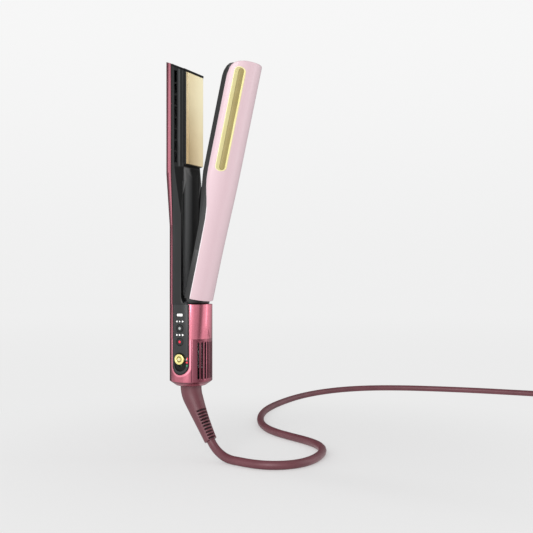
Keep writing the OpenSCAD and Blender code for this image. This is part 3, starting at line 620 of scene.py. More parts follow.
# %% The head of the shell
BEVEL_WAY = (-0.6278, 0.7784)
VENT_MIDDLE = (-4.2, 21.05)
VENT_SPAN = (179, 269.9)
HEAD_START = 174.5
RIDGE_SHADING = ((0.2, 18), (0.29, 60), (0.38, 84), (0.47, 26), (0.57, 3), (0.68, 46), (0.79, 38), (0.84, 2))


def cool_grey(level):
    """A grey as the black parts show it, with a trace of blue."""
    return rgb(level, level + 1, level + 2)


def grey_ramp(finish, place, tones):
    """Cool greys along a ramp, from pairs of a place from 0 to 1 and a level."""
    return finish.ramp(place, *((start, cool_grey(level)) for start, level in tones))


shell_black = grained("shell_black", *COAL, 0.0003, 0.000008, (0.26, 0.38))
shell_x, shell_y, shell_z = shell_black.own_place()
side_y = shell_black.absolute(shell_y)
bevel_x = (shell_x - VENT_MIDDLE[0] * MM) * BEVEL_WAY[0]
bevel_y = (side_y - VENT_MIDDLE[1] * MM) * BEVEL_WAY[1]
from_vents = shell_black.absolute(bevel_x + bevel_y)
# The deep black band over the vents is painted shade.
band = shell_black.past(from_vents, 1.75, -0.2) * shell_black.past(shell_z, VENT_SPAN[0], 0.4)
band = band * shell_black.past(shell_z, VENT_SPAN[1], -0.4)
normal_x, normal_y = shell_black.own_normal()[:2]
faces_out = normal_x * BEVEL_WAY[1] - shell_black.absolute(normal_y) * BEVEL_WAY[0]
on_bevel = shell_black.step(faces_out, 0.93, 0.97) * shell_black.past(shell_z, 60, 2)
on_head = shell_black.past(shell_z, HEAD_START, 2)
# The ridges' greys are painted highlight and shade.
ridge_shading = grey_ramp(shell_black, from_vents * 100, RIDGE_SHADING)
head_tone = shell_black.tint(on_bevel * on_head, shell_black.fed("Base Color"), ridge_shading)
# The ledge, the seam and the bevel below the head are painted shade.
ledge = shell_black.past(shell_x, 2.4, -0.4) * shell_black.past(shell_x, 0.6, 0.4)
ledge = ledge * on_head * (1 - on_bevel)
seam = shell_black.past(shell_x, -7.8, -0.6) * shell_black.past(side_y, 18, 1)
painted_shade = shell_black.larger(on_bevel * (1 - on_head), shell_black.larger(ledge, seam))
print("shell's head: band, ridges, ledge and seam")

# %% [markdown]
# The handle part of the shell is a round arch, bright on the near side in the photograph
# although the open arm hangs over it. Its tone is therefore painted light, running from grey
# to black across the arch: a painted highlight on the near side and painted shade on the
# far side. Its far side and the other dark parts are dull as well.

# %% The arch of the shell
ARCH_HALF = 14.7
# Painted light across the arch, from grey on the near side to black on the far side.
ARCH_SHADING = ((0, 3), (0.2, 22), (0.36, 64), (0.6, 106), (1, 122))
on_arch = shell_black.past(side_y, ARCH_HALF, -0.5) * shell_black.past(shell_x, -2, 1)
on_arch = on_arch * shell_black.past(shell_z, HEAD_START + 2, -2)
arch_shading = grey_ramp(shell_black, shell_y * -80, ARCH_SHADING)
far_side = on_arch * shell_black.past(shell_y, -6, 6)
tone = shell_black.tint(on_arch, head_tone, arch_shading)
tone = shell_black.tint(painted_shade, tone, rgb(2, 3, 3))
dull = shell_black.larger(far_side, shell_black.larger(band, painted_shade))
shell_black.set(
    Base_Color=shell_black.tint(band, tone, rgb(3, 3, 3)),
    Roughness=shell_black.fed("Roughness") + 0.6 * dull,
)
print("shell finish ready")

# %% [markdown]
# Metal parts differ in how they were worked. A ground plate carries fine lines along its
# length, and a turned part carries rings round its axis. The lines are noise stretched
# along Z, and the rings are a sine of the distance from the axis, with a little wear.

# %% Ground and turned metal
def ground(name, dark, light, metal, gloss, along=(40, 40, 1), lines=0.004):
    """Metal with fine lines along one way, and soft stains from its heat treatment."""
    made = Finish(name, light, Metallic=metal)
    line = made.noise(lines, 4, 0.7, along)
    stain = made.noise(0.02, 3)
    made.set(
        Base_Color=made.tint(made.step(0.45 * line + 0.55 * stain, 0.3, 0.7), dark, light),
        Roughness=gloss + 0.14 * line,
        Normal=made.bump(line, 0.000006),
    )
    return made


def turned(name, dark, light, gloss, middle, axis, pitch):
    """Metal with fine turned rings round an axis through a middle, in millimetres."""
    made = Finish(name, light, Metallic=1.0)
    x, y, z = made.parts(made.place(shift=tuple(-c * MM for c in middle)))
    radius = made.hypot(x, {"y": z, "z": y}[axis])
    ring = made.number("SINE", radius * (2 * math.pi / pitch))
    wear = made.noise(0.0015, 3)
    made.set(
        Base_Color=made.tint(0.35 + 0.25 * ring + 0.3 * wear, dark, light),
        Roughness=gloss + 0.05 * ring + 0.08 * wear,
        Normal=made.bump(ring, 0.000004),
    )
    return made


SLIDER_Z = -13.4
gold_lining = ground("gold_lining", rgb(254, 244, 178), rgb(255, 250, 198), 0.12, 0.28)
# The floor's darker olive is painted shade in the slot.
gold_floor = ground("gold_floor", rgb(156, 142, 92), rgb(168, 154, 104), 0.08, 0.4)
steel = ground("steel", rgb(160, 162, 166), rgb(200, 202, 206), 1.0, 0.28, (1, 1, 30), 0.003)
# The screen's steel is near black: painted shade behind the cage's slots.
screen_wire = ground("screen_wire", rgb(8, 8, 9), rgb(16, 16, 17), 0.4, 0.5, (1, 1, 30), 0.003)
switch_tones = (rgb(246, 230, 140), rgb(255, 246, 176))
gold_switch = turned("gold_switch", *switch_tones, 0.22, (PANEL_X, 0, SLIDER_Z), "y", 0.00022)
copper_ring = turned("copper_ring", rgb(190, 130, 80), rgb(224, 176, 110), 0.25, (0, 0, 0), "z", 0.0003)
print("worked metals: 6")

# %% [markdown]
# The heater plates share one ground finish. It is paler towards its far side and its top,
# a painted reflection where the photograph's plate mirrors the light, and one dark line of
# painted shade runs along the side of the fixed plate.

# %% Heater plates
gold_plate = ground("gold_plate", rgb(218, 192, 144), rgb(236, 212, 166), 0.62, 0.27)
plate_x, plate_y, plate_z = gold_plate.own_place()
# Painted reflection towards the far side and the top, and painted shade along the side.
sheen = 0.4 * gold_plate.past(plate_y, -13, 26) + 0.5 * gold_plate.past(plate_z, 185, 65)
side_shade = gold_plate.past(plate_x, 4.2, 0.3) * gold_plate.past(plate_x, 5.4, -0.3)
reflected_tone = gold_plate.tint(sheen, gold_plate.fed("Base Color"), rgb(255, 246, 208))
gold_plate.set(Base_Color=gold_plate.tint(0.8 * side_shade, reflected_tone, rgb(96, 66, 30)))
print("heater plates:", gold_plate.name)

# %% [markdown]
# Inside are a green board with copper traces under its solder mask, speckled ceramic
# heaters and silicone wires in a fine braid. The traces are a brick pattern whose mortar
# stands a little proud, as copper under lacquer does.

# %% Electrical finishes
board_green = Finish("board_green", rgb(38, 92, 58), Coat_Weight=0.4, Coat_Roughness=0.2)
upright = board_green.place(turn=(math.radians(90), 0, 0))
bricks = {"Vector": upright, "Scale": 1.0, "Brick Width": 0.0042, "Row Height": 0.0011}
bricks["Mortar Size"] = 0.00018
trace = board_green.node("ShaderNodeTexBrick", {"offset": 0.37}, bricks, out="Fac")
weave = board_green.noise(0.0003, 2)
board_green.set(
    Base_Color=board_green.tint(trace, rgb(34, 84, 52), rgb(74, 132, 76)),
    Roughness=0.4 + 0.15 * weave,
    Normal=board_green.bump(trace + 0.2 * weave, 0.00003),
)

ceramic = Finish("ceramic", rgb(214, 204, 186), Specular_IOR_Level=0.35)
pores = ceramic.step(ceramic.noise(0.0006, 3, 0.7), 0.55, 0.7)
cloud = ceramic.noise(0.008, 2)
ceramic.set(
    Base_Color=ceramic.tint(0.6 * pores + 0.4 * cloud, rgb(222, 214, 198), rgb(186, 172, 148)),
    Roughness=0.55 + 0.25 * pores,
    Normal=ceramic.bump(1 - pores, 0.00003),
)

wire_red = Finish("wire_red", rgb(168, 48, 40), Specular_IOR_Level=0.4)
skin_drift = wire_red.noise(0.004, 2, 0.5, (1, 1, 0.2))
braid_waves = {"Vector": wire_red.place(), "Scale": 300}
braid = wire_red.node("ShaderNodeTexWave", {"bands_direction": "DIAGONAL"}, braid_waves)
wire_red.set(
    Base_Color=wire_red.tint(0.5 * skin_drift + 0.5 * braid, rgb(150, 40, 34), rgb(182, 58, 48)),
    Roughness=0.4 + 0.2 * braid,
    Normal=wire_red.bump(braid, 0.00005),
)
print("electrical finishes: 3")

# %% [markdown]
# Light shows through frosted windows, and a fine frost breaks up both their colour and
# their glow. The same recipe serves the white windows, and the small red, green and white
# marks and signs, which are printed: their faint glow is painted light.
# The bands that tie the stored cord are ribbed and fuzzy, as hook tape is. All finishes
# but those made for one piece are then found by the name of their material slot.

# %% Lit windows and marks
def lit_or_painted_glow(name, colour, glow):
    """Frosted plastic that glows: a lamp behind the windows, painted light on printed marks."""
    made = Finish(name, colour, Emission_Strength=glow, Roughness=0.4)
    frost = made.noise(0.0002, 3)
    dim = tuple(0.82 * c for c in colour)
    made.set(
        Base_Color=made.tint(frost, dim, colour),
        Emission_Color=made.tint(frost, dim, colour),
        Roughness=0.35 + 0.2 * frost,
        Normal=made.bump(frost, 0.00001),
    )
    return made


light_window = lit_or_painted_glow("light_window", rgb(240, 240, 238), 0.6)
# The printed marks and signs glow faintly: painted light, with no lamp behind.
mark_red = lit_or_painted_glow("mark_red", rgb(232, 40, 66), 0.7)
mark_green = lit_or_painted_glow("mark_green", rgb(24, 128, 84), 0.5)
mark_white = lit_or_painted_glow("mark_white", rgb(206, 212, 210), 0.25)

tie_dark = Finish("tie_dark", rgb(66, 66, 70), Specular_IOR_Level=0.2)
rib_waves = {"Vector": tie_dark.place(), "Scale": 400, "Distortion": 1}
ribs = tie_dark.node("ShaderNodeTexWave", {"bands_direction": "Z"}, rib_waves)
fuzz = tie_dark.noise(0.0005, 3)
tie_dark.set(
    Base_Color=tie_dark.tint(0.6 * ribs + 0.4 * fuzz, rgb(52, 52, 56), rgb(78, 78, 82)),
    Roughness=0.7 + 0.2 * fuzz,
    Normal=tie_dark.bump(ribs + 0.5 * fuzz, 0.00012),
)

SLOT_FINISHES = (
    rose_coat, dusty_rose, gloss_black, matte_black, dark_frame, button_black, light_window,
    gold_plate, gold_lining, gold_switch, pale_pink, board_green, steel, fan_white, ceramic,
    wire_red, copper_ring, cord_rose, tie_dark,
)
BY_SLOT = {finish.name: finish for finish in SLOT_FINISHES}
print("finishes:", len(BY_SLOT), "by material slot")

# %% [markdown]
# ## The mains cord
# A cord of this kind is 2.7 m long from the tool to the plug. What the photograph shows
# is the start: out of the strain relief, down to the floor and round in a wide bend, until
# it fades out behind the tool. From there it is led away to the right, and the rest is
# stored in a flat coil of two layers, just outside the view. The cord is one curve: a line
# that passes smoothly through given points, and then a spiral that goes in on the low
# layer and out on the high one.

# %% The cord's line
CORD_D = 8.5
LAY_Z = FLOOR_Z + CORD_D / 2
EXIT = (25.212, -3.543, -93.211)
EXIT_WAY = (0.5335, -0.0750, -0.8425)
COIL_MID = (318, 532)
COIL_TURNS = 5.25
COIL_INNER_R = 37.4
TURN_PITCH = CORD_D + 0.6
COIL_OUTER_R = COIL_INNER_R + TURN_PITCH * COIL_TURNS / 2
COIL_LOW = FLOOR_Z + 0.65 + CORD_D / 2
LAYER_RISE = CORD_D + 0.45
TURN_STEPS = 36

SLOPE_POINTS = [(28.9, -4.2, -98), (33.7, -5.1, -102.3), (39.7, -6.2, -105.8), (46.2, -7.5, -108)]
FLOOR_POINTS = [
    (53, -9), (61, -10.8), (71, -12.8), (83, -13.6), (95, -11.2), (106, -4.6), (114, 5.4),
    (118.6, 18), (120, 32), (118.6, 48), (114.6, 64), (107.4, 79.6), (96.8, 93), (83.4, 104),
    (68, 113), (48, 123), (27, 135), (7, 151), (-11, 172), (-27, 197), (-42, 227), (-55, 262),
    (-64, 300), (-69, 340), (-71, 382), (-68, 424), (-58, 466), (-39, 505), (-8, 538), (34, 561),
    (86, 576), (144, 586), (204, 591),
]
cord_route = SLOPE_POINTS + [(x, y, LAY_Z) for x, y in FLOOR_POINTS] + [(260, 592, LAY_Z + 0.3)]
coil_start = (COIL_MID[0] - CORD_D, COIL_MID[1] + COIL_OUTER_R, COIL_LOW)


def smooth_line(points, before, after, steps):
    """A Catmull-Rom curve through the points, with a given neighbour at each end."""
    p = [Vector(q) for q in (before, *points, after)]
    line = []
    for a, b, c, d in zip(p, p[1:], p[2:], p[3:]):
        for k in range(steps):
            t = k / steps
            bend = (2 * a - 5 * b + 4 * c - d) * t * t + (3 * b - a - 3 * c + d) * t**3
            line.append((2 * b + (c - a) * t + bend) / 2)
    return line + [p[-2]]


def coil_point(turn):
    """A place on the stored coil, after so many turns."""
    angle = math.radians(90 - 360 * turn)
    radius = COIL_INNER_R + TURN_PITCH * abs(turn - COIL_TURNS / 2)
    climb = min(max((turn - COIL_TURNS / 2 + 0.25) / 0.5, 0), 1)
    height = COIL_LOW + LAYER_RISE * (1 - math.cos(math.pi * climb)) / 2
    return Vector((COIL_MID[0] + radius * math.cos(angle), COIL_MID[1] + radius * math.sin(angle), height))


before_exit = Vector(EXIT) - 9 * Vector(EXIT_WAY)
past_start = Vector(coil_start) + Vector((50, 0, 0))
free_line = smooth_line([EXIT, *cord_route, coil_start], before_exit, past_start, 5)
coil_line = [coil_point(i / TURN_STEPS) for i in range(round(TURN_STEPS * COIL_TURNS) + 1)]
coil_end = coil_line[-1] + Vector((0, -CORD_D, 0))
cord_line = free_line + coil_line + [coil_end]
cord_length = sum((b - a).length for a, b in zip(cord_line, cord_line[1:]))
print("cord:", round(cord_length / 1000, 3), "m")

# %% [markdown]
# Its coat is matte moulded plastic with a fine satin grain.

# %% The cord as a curve
def tube_curve(name, line, diameter):
    """A curve with a round section through the points of a line."""
    data = bpy.data.curves.new(name, "CURVE")
    data.dimensions = "3D"
    data.bevel_depth = diameter / 2 * MM
    data.bevel_resolution = 4
    data.use_fill_caps = True
    spline = data.splines.new("POLY")
    spline.points.add(len(line) - 1)
    for point, place in zip(spline.points, line):
        point.co = (*(place * MM), 1)
    return add_object(name, data)


mains_cord = tube_curve("mains_cord", cord_line, CORD_D)
dress(mains_cord, cord_rose, "cord_set", "cord_rose", "cord", "cord_coil")
print("cord's curve:", len(cord_line), "points")

# %% [markdown]
# ## The strain relief
# A tapered sleeve guides the cord out of the swivel. It drops straight down, bends, and
# ends in a slow curve. Ten short slots on two opposite sides let it flex: they are dents
# pressed into the sleeve's own rings, with walls that slope a little, as moulds need. The
# bottoms of the dents get a darker finish, because hardly any light falls into real slots.

# %% The sleeve's line and radius
BOOT_TOP = -40.9
BOOT_HEADING = math.radians(-8)
BOOT_BENDS = ((26, 0, 27), (466, 27, 32.6))
BOOT_START = 1
BOOT_RADIUS = ((0, 10.5), (8, 10.2), (14, 9.8), (25, 8.6), (36, 7.6), (47, 6.8), (60, 6.1))
BOOT_SIDES = 72
BOOT_STEP = 0.35
SLOT_COUNT = 10
SLOT_FIRST = 28.6
SLOT_PITCH = 3.2
SLOT_TURN = math.radians(14)
SLOT_EDGE = math.cos(math.radians(48))
SLOT_DEPTH = 2.2


def boot_place(s):
    """Way out, drop and lean of the sleeve's middle line, s along it."""
    out, drop, lean = 0.0, -min(s, BOOT_START), 0.0
    left = s - BOOT_START
    for radius, start, end in BOOT_BENDS:
        arc = radius * math.radians(end - start)
        turn = math.radians(start) + min(max(left, 0), arc) / radius
        out += radius * (math.cos(math.radians(start)) - math.cos(turn))
        drop -= radius * (math.sin(turn) - math.sin(math.radians(start)))
        lean = turn if left > 0 else lean
        left -= arc
    return out, drop, lean


BOOT_LENGTH = BOOT_START + sum(r * math.radians(b - a) for r, a, b in BOOT_BENDS)


def slot_dent(s, angle):
    """Depth of the slots at a place on the sleeve."""
    k = round((s - SLOT_FIRST) / SLOT_PITCH)
    if not 0 <= k < SLOT_COUNT:
        return 0
    along = abs(s - SLOT_FIRST - k * SLOT_PITCH)
    side = abs(math.cos(angle - SLOT_TURN))
    return SLOT_DEPTH * (1 - ease(0.55, 0.95, along)) * ease(SLOT_EDGE, SLOT_EDGE + 0.07, side)


def boot_ring(s):
    """One ring of the sleeve, s along its middle line."""
    out, drop, lean = boot_place(s)
    ring = []
    for j in range(BOOT_SIDES):
        a = 2 * math.pi * j / BOOT_SIDES
        r = lookup(BOOT_RADIUS, s) - slot_dent(s, a)
        x, y = out + r * math.cos(a) * math.cos(lean), -r * math.sin(a)
        z = BOOT_TOP + drop + r * math.cos(a) * math.sin(lean)
        ring.append(tuple(Matrix.Rotation(BOOT_HEADING, 3, "Z") @ Vector((x, y, z))))
    return ring


boot_steps = [BOOT_STEP * i for i in range(int(BOOT_LENGTH / BOOT_STEP) + 1)] + [BOOT_LENGTH]
boot_rings = [boot_ring(s) for s in boot_steps]
strain_sleeve = mesh_object("strain_sleeve", *bridge(boot_rings), smooth_below=50)
dress(strain_sleeve, cord_rose, "cord_set", "cord_rose", "strain_relief")
strain_sleeve.data.materials.append(slot_shade.material)
for i, (start, end) in enumerate(zip(boot_steps, boot_steps[1:])):
    for j in range(BOOT_SIDES):
        if slot_dent((start + end) / 2, 2 * math.pi * (j + 0.5) / BOOT_SIDES) > 0.9:
            strain_sleeve.data.polygons[i * BOOT_SIDES + j].material_index = 1
print("strain relief:", round(BOOT_LENGTH, 1), "mm")

# %% [markdown]
# The cord belongs to the cord_set body. Its plug, ties and coil ride on the swivel with it,
# because the real cord turns freely under the handle.

print("cord declared with", mains_cord.name)

# %% [markdown]
# ## The pink shell of the moving arm
# The shell is a skin 2 mm thick: a round wall whose front edge follows a long soft curve,
# closed by a small floor below and a sloping crown on top. Its shape follows a rule, so
# it is written as one: at every height the round has a middle and a radius, and the edge
# curve says how far round the wall goes. All of it is modelled in the closed pose, where
# the arm is upright, and swung open afterwards round the hinge pin.

# %% The arm's rule
PIVOT = Vector((6, 0, 42)) * MM
OPEN_ANGLE = math.radians(13.4)
SWING = Matrix.Translation(PIVOT) @ Matrix.Rotation(OPEN_ANGLE, 4, "Y") @ Matrix.Translation(-PIVOT)
COVER_EDGE = ((46, 9), (126, 9), (138, 8.2), (147, 6.4), (154, 4.6), (161, 3.2), (170, 2.4), (262, 2.4))
CROWN = ((2.4, 262), (3.3, 269), (4.9, 273), (7, 275.5), (11, 278), (16, 279.6), (23, 280.5))
BARREL_R = 21.25
HEAD_R = 21.9
HEAD_MIDDLE = 0.9
ARM_BOTTOM = 46.5
CROWN_START = 244
FLOOR_X = 13.3
NOTCH_HALF = 15.2


def arm_radius(z):
    """Radius of the arm's round at a height."""
    return soft(((95, BARREL_R), (165, HEAD_R)), z, 12)


def arm_middle(z):
    """Where the middle of that round is, along X."""
    return soft(((95, 0), (165, HEAD_MIDDLE)), z, 12)


def arm_point(u, z):
    """A place on the arm's wall, for u from -1 to 1 between its two edges."""
    start = min(z, CROWN_START)
    middle, radius = arm_middle(z), arm_radius(z)
    reach = math.acos((soft(COVER_EDGE, start, 5) - arm_middle(start)) / arm_radius(start))
    return middle + radius * math.cos(u * reach), radius * math.sin(u * reach), z


print("arm's radius at the hinge and at the head:", arm_radius(ARM_BOTTOM), round(arm_radius(CROWN_START), 2))

# %% [markdown]
# The columns of the wall are even, but for a wider one along each edge, which leaves room
# for the round of the rim. The crown starts with a band along the wall for the same reason.

# %% The sheet of the shell
COLUMNS = 76
EDGE_COLUMN = 0.06
CROWN_ROWS = 5
inner_steps = [-1 + EDGE_COLUMN + (2 - 2 * EDGE_COLUMN) * k / COLUMNS for k in range(COLUMNS + 1)]
shell_steps = [-1, *inner_steps, 1]
last = len(shell_steps) - 1
wall_heights = [ARM_BOTTOM, 50, *range(54, 122, 4), *range(122, 176, 2), *range(176, CROWN_START + 1, 4)]
shell_rows = [[arm_point(u, z) for u in shell_steps] for z in wall_heights]
for k in range(1, CROWN_ROWS + 1):
    row = []
    for u in shell_steps:
        x, y, z = arm_point(u, CROWN_START)
        row.append((x, y, z + (lookup(CROWN, x) - z) * k / CROWN_ROWS))
    shell_rows.append(row)
shell_points, shell_faces = sheet(shell_rows)
print("wall of the shell:", len(shell_faces), "faces")

# %% [markdown]
# The crown is a band along the top of the wall and then strips from side to side. The
# floor is strips behind the notch that clears the hinge, with a tongue on either side.

# %% Crown and floor
CROWN_BAND = 2.6
top = len(shell_points) - len(shell_steps)
crown_first = next(i for i in range(last) if shell_points[top + i][0] >= 4.9)
crown_columns = range(crown_first, last - crown_first + 1)
band_start = len(shell_points)
shrink = 1 - CROWN_BAND / HEAD_R
for i in crown_columns:
    x, y, z = shell_points[top + i]
    inner_x = HEAD_MIDDLE + (x - HEAD_MIDDLE) * shrink
    shell_points.append((inner_x, y * shrink, lookup(CROWN, inner_x)))
width = len(crown_columns)
for j in range(width - 1):
    edge = top + crown_first + j
    shell_faces.append((edge, edge + 1, band_start + j + 1, band_start + j))
for j in range(width // 2):
    pair = [band_start + j, band_start + j + 1, band_start + width - 2 - j, band_start + width - 1 - j]
    shell_faces.append(tuple(dict.fromkeys(pair)))

floor_first = next(i for i in range(last) if shell_points[i][0] >= FLOOR_X)
for i in range(floor_first, (last + 1) // 2):
    pair = [last - i, last - i - 1, i + 1, i]
    shell_faces.append(tuple(dict.fromkeys(pair)))
for side in (0, 1):
    tongue = len(shell_points)
    columns = [last - i if side else i for i in range(floor_first + 1)]
    for i in columns:
        x, y, z = shell_points[i]
        shell_points.append((x, math.copysign(NOTCH_HALF, y), z))
    for j in range(floor_first):
        face = [columns[j], columns[j + 1], tongue + j + 1, tongue + j]
        shell_faces.append(tuple(reversed(face)) if side == 0 else tuple(face))
pink_shell = mesh_object("pink_shell", shell_points, shell_faces)
print("pink shell:", len(shell_faces), "faces before its thickness")

# %% [markdown]
# Solidify gives the skin its thickness. Only the outer edges get a large round: they are
# found by how far they lie from the arm's middle, and marked with a bevel weight. Then a
# Boolean cuts the accessory slot through the front wall. The round along the front edge
# gets a near-white finish of its own on its faces: a painted highlight.

# %% Thickness, rims and the slot
SLOT_X = 13.7
SLOT_LOW = 174
SLOT_LONG = 98.5
SLOT_R = 3.75
SHELL_WALL = 2
SHELL_ROUND = 1.15


def stadium(grow, arc_steps=14):
    """The slot's outline, grown by so much, as places across and up."""
    radius = SLOT_R + grow
    low, high = SLOT_LOW + SLOT_R, SLOT_LOW + SLOT_LONG - SLOT_R
    ring = []
    for middle, start in ((high, 0), (low, 180)):
        for k in range(arc_steps + 1):
            a = math.radians(start + 180 * k / arc_steps)
            ring.append((SLOT_X + radius * math.cos(a), middle + radius * math.sin(a)))
    return ring


def edit(piece, work):
    """Opens a piece's mesh for one change by a function, and closes it again."""
    mesh = bmesh.new()
    mesh.from_mesh(piece.data)
    work(mesh)
    mesh.to_mesh(piece.data)
    mesh.free()
    return piece


def outward(piece):
    """Merges the doubles of a closed mesh and turns its faces outwards."""
    def work(mesh):
        bmesh.ops.remove_doubles(mesh, verts=mesh.verts, dist=0.002 * MM)
        bmesh.ops.recalc_face_normals(mesh, faces=mesh.faces)
    return edit(piece, work)


def from_outside(place):
    """How deep a place lies under the arm's outer round."""
    return arm_radius(place.z) - math.hypot(place.x - arm_middle(place.z), place.y)


def weigh_outer_edges(mesh):
    """Marks the shell's outer edges for the large round."""
    weight = mesh.edges.layers.float.new("bevel_weight_edge")
    for edge in mesh.edges:
        if len(edge.link_faces) == 2 and edge.calc_face_angle() > math.radians(35):
            places = [v.co / MM for v in edge.verts]
            if all(from_outside(place) < 0.3 for place in places):
                edge[weight] = 0.4 if places[0].z < ARM_BOTTOM + 0.1 else 1.0


pink_shell.data.materials.append(pale_pink.material)
pink_shell.data.materials.append(inner_black.material)
edit(pink_shell, lambda mesh: bmesh.ops.remove_doubles(mesh, verts=mesh.verts, dist=0.01 * MM))
modify(pink_shell, "SOLIDIFY", thickness=SHELL_WALL * MM, offset=-1, use_even_offset=True, material_offset=1)
settle(pink_shell)
edit(pink_shell, weigh_outer_edges)
weighted = {"limit_method": "WEIGHT", "use_clamp_overlap": False}
modify(pink_shell, "BEVEL", width=SHELL_ROUND * MM, segments=4, **weighted)
cut_rings = [[(x, y, z) for x, z in stadium(0.72)] for y in (-40, -11)]
slot_cutter = outward(mesh_object("slot_cutter", *bridge(cut_rings)))
modify(pink_shell, "BOOLEAN", operation="DIFFERENCE", object=slot_cutter, solver="EXACT")
settle(pink_shell)
bpy.data.objects.remove(slot_cutter)
pink_shell.data.materials.append(pale_edge.material)
# Faces on the front round get the painted highlight.
for face in pink_shell.data.polygons:
    place = face.center / MM
    beside = place.x - soft(COVER_EDGE, place.z, 5) < 0.85
    if face.material_index == 0 and beside and from_outside(place) < 1.3 and place.z < CROWN[0][1]:
        face.material_index = 2
pink_shell.data.transform(SWING)
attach(pink_shell, "moving_arm")
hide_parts("moving_cover")
print("pink shell:", len(pink_shell.data.polygons), "faces")

# %% [markdown]
# ## The gold-lined slot
# Comb attachments slide into this slot. Its lining is a drawn aluminium tub: a thin rim
# that stands a hair proud of the shell, and a floor that lies nearer to the right side, so
# that the left wall leans open. It is a row of stadium rings, each with its own size and
# depth. The floor is duller than the walls, and its darker olive is painted shade in the slot.

# %% The lining
SLOT_FLOOR = -15.5


def arm_front(x, z):
    """Where the arm's front face is, for a place across and up."""
    return -math.sqrt(arm_radius(z) ** 2 - (x - arm_middle(z)) ** 2)


def rim_ring(grow, sink):
    """A ring that follows the arm's front, a little sunk into it."""
    return [(x, arm_front(x, z) + sink, z) for x, z in stadium(grow)]


def deep_ring(grow, y, aside=0):
    """A flat ring at one depth, moved aside."""
    return [(x + aside, y, z) for x, z in stadium(grow)]


lining_rings = [
    deep_ring(0.7, SLOT_FLOOR + 0.7),
    rim_ring(0.7, 0.15),
    rim_ring(0.66, -0.08),
    rim_ring(0.5, -0.16),
    rim_ring(0.16, -0.16),
    rim_ring(0.02, -0.06),
    rim_ring(0, 0.15),
    deep_ring(-0.65, SLOT_FLOOR - 0.5, 0.65),
    deep_ring(-0.75, SLOT_FLOOR - 0.15, 0.7),
    deep_ring(-1, SLOT_FLOOR, 0.75),
]
gold_tub = outward(mesh_object("gold_tub", *bridge(lining_rings), smooth_below=50))
gold_tub.data.transform(SWING)
dress(gold_tub, gold_lining, "moving_arm", "gold_lining", "slot_lining")
gold_tub.data.materials.append(gold_floor.material)
for face in gold_tub.data.polygons:
    depths = [gold_tub.data.vertices[i].co.y / MM for i in face.vertices]
    level = max(depths) - min(depths) < 0.5
    if level and min(depths) > SLOT_FLOOR - 0.6 and face.normal.y < 0:
        face.material_index = 1
print("gold tub:", len(gold_tub.data.polygons), "faces")

# %% [markdown]
# ## Geometry Nodes from Python
# What repeats is work for Geometry Nodes. Their trees are built like the shader's, so one
# class adds to the same base what shapes need: named sizes as inputs, moves, copies round
# an axis or one above the other, rods along curves, and an end that runs the tree once and
# keeps the plain mesh.

# %% A way to write Geometry Nodes
class Shape(Nodes):
    """A Geometry Nodes tree with named inputs, used once on an empty mesh."""

    def __init__(self, name, **sizes):
        tree = bpy.data.node_groups.new(name, "GeometryNodeTree")
        super().__init__(tree)
        tree.interface.new_socket("Geometry", in_out="OUTPUT", socket_type="NodeSocketGeometry")
        self.sizes = sizes
        for label, value in sizes.items():
            kind = "NodeSocketInt" if isinstance(value, int) else "NodeSocketFloat"
            tree.interface.new_socket(label, in_out="INPUT", socket_type=kind)
        inlet = tree.nodes.new("NodeGroupInput")
        self.size = {label: Value(self, inlet.outputs[label]) for label in sizes}

    def vector(self, x=0.0, y=0.0, z=0.0):
        return self.node("ShaderNodeCombineXYZ", None, {"X": x, "Y": y, "Z": z})

    def moved(self, geometry, place=(0, 0, 0), turn=(0, 0, 0)):
        inputs = {"Geometry": geometry, "Translation": place, "Rotation": turn}
        return self.node("GeometryNodeTransform", None, inputs)

    def joined(self, *pieces):
        made = self.tree.nodes.new("GeometryNodeJoinGeometry")
        for piece in pieces:
            self.tree.links.new(piece.socket, made.inputs[0])
        return Value(self, made.outputs[0])

    def around(self, piece, count, start, step):
        """Copies of a piece round the Z axis, from a start and with a step in radians."""
        points = self.node("GeometryNodePoints", None, {"Count": count})
        index = self.node("GeometryNodeInputIndex")
        inputs = {"Points": points, "Instance": piece, "Rotation": self.vector(z=index * step + start)}
        return self.node("GeometryNodeInstanceOnPoints", None, inputs)

    def stacked(self, piece, count, start, step):
        """Copies of a piece one above the other."""
        inputs = {"Count": count, "Start Location": self.vector(z=start), "Offset": self.vector(z=step)}
        line = self.node("GeometryNodeMeshLine", None, inputs)
        return self.node("GeometryNodeInstanceOnPoints", None, {"Points": line, "Instance": piece})

    def rod(self, curve, radius, sides=6):
        """A round bar along a curve."""
        profile = self.node("GeometryNodeCurvePrimitiveCircle", None, {"Resolution": sides, "Radius": radius})
        inputs = {"Curve": curve, "Profile Curve": profile, "Fill Caps": True}
        return self.node("GeometryNodeCurveToMesh", None, inputs)

    def finished(self, geometry, finish, weld=0.0):
        """Ends the tree, runs it on a new object and returns the plain result."""
        real = self.node("GeometryNodeRealizeInstances", None, {"Geometry": geometry})
        if weld:
            real = self.node("GeometryNodeMergeByDistance", None, {"Geometry": real, "Distance": weld})
        coated = self.node("GeometryNodeSetMaterial", None, {"Geometry": real, "Material": finish.material})
        outlet = self.tree.nodes.new("NodeGroupOutput")
        self.tree.links.new(coated.socket, outlet.inputs[0])
        piece = add_object(self.tree.name, bpy.data.meshes.new(self.tree.name))
        modifier = piece.modifiers.new("shape", "NODES")
        modifier.node_group = self.tree
        for item in self.tree.interface.items_tree:
            if item.in_out == "INPUT":
                modifier[item.identifier] = self.sizes[item.name]
        return settle(piece)


print("shape class ready")

# %% [markdown]
# ## The filter cage
# The cage repeats one cell: a narrow upright plate with one round-ended slot in it. The
# tree fills a rectangle with a stadium-shaped hole, stands it up at the cage's radius, and
# sets it on the points of a round, one step further each time. Its sizes are named inputs,
# so the same tree could make a cage with wider slots.

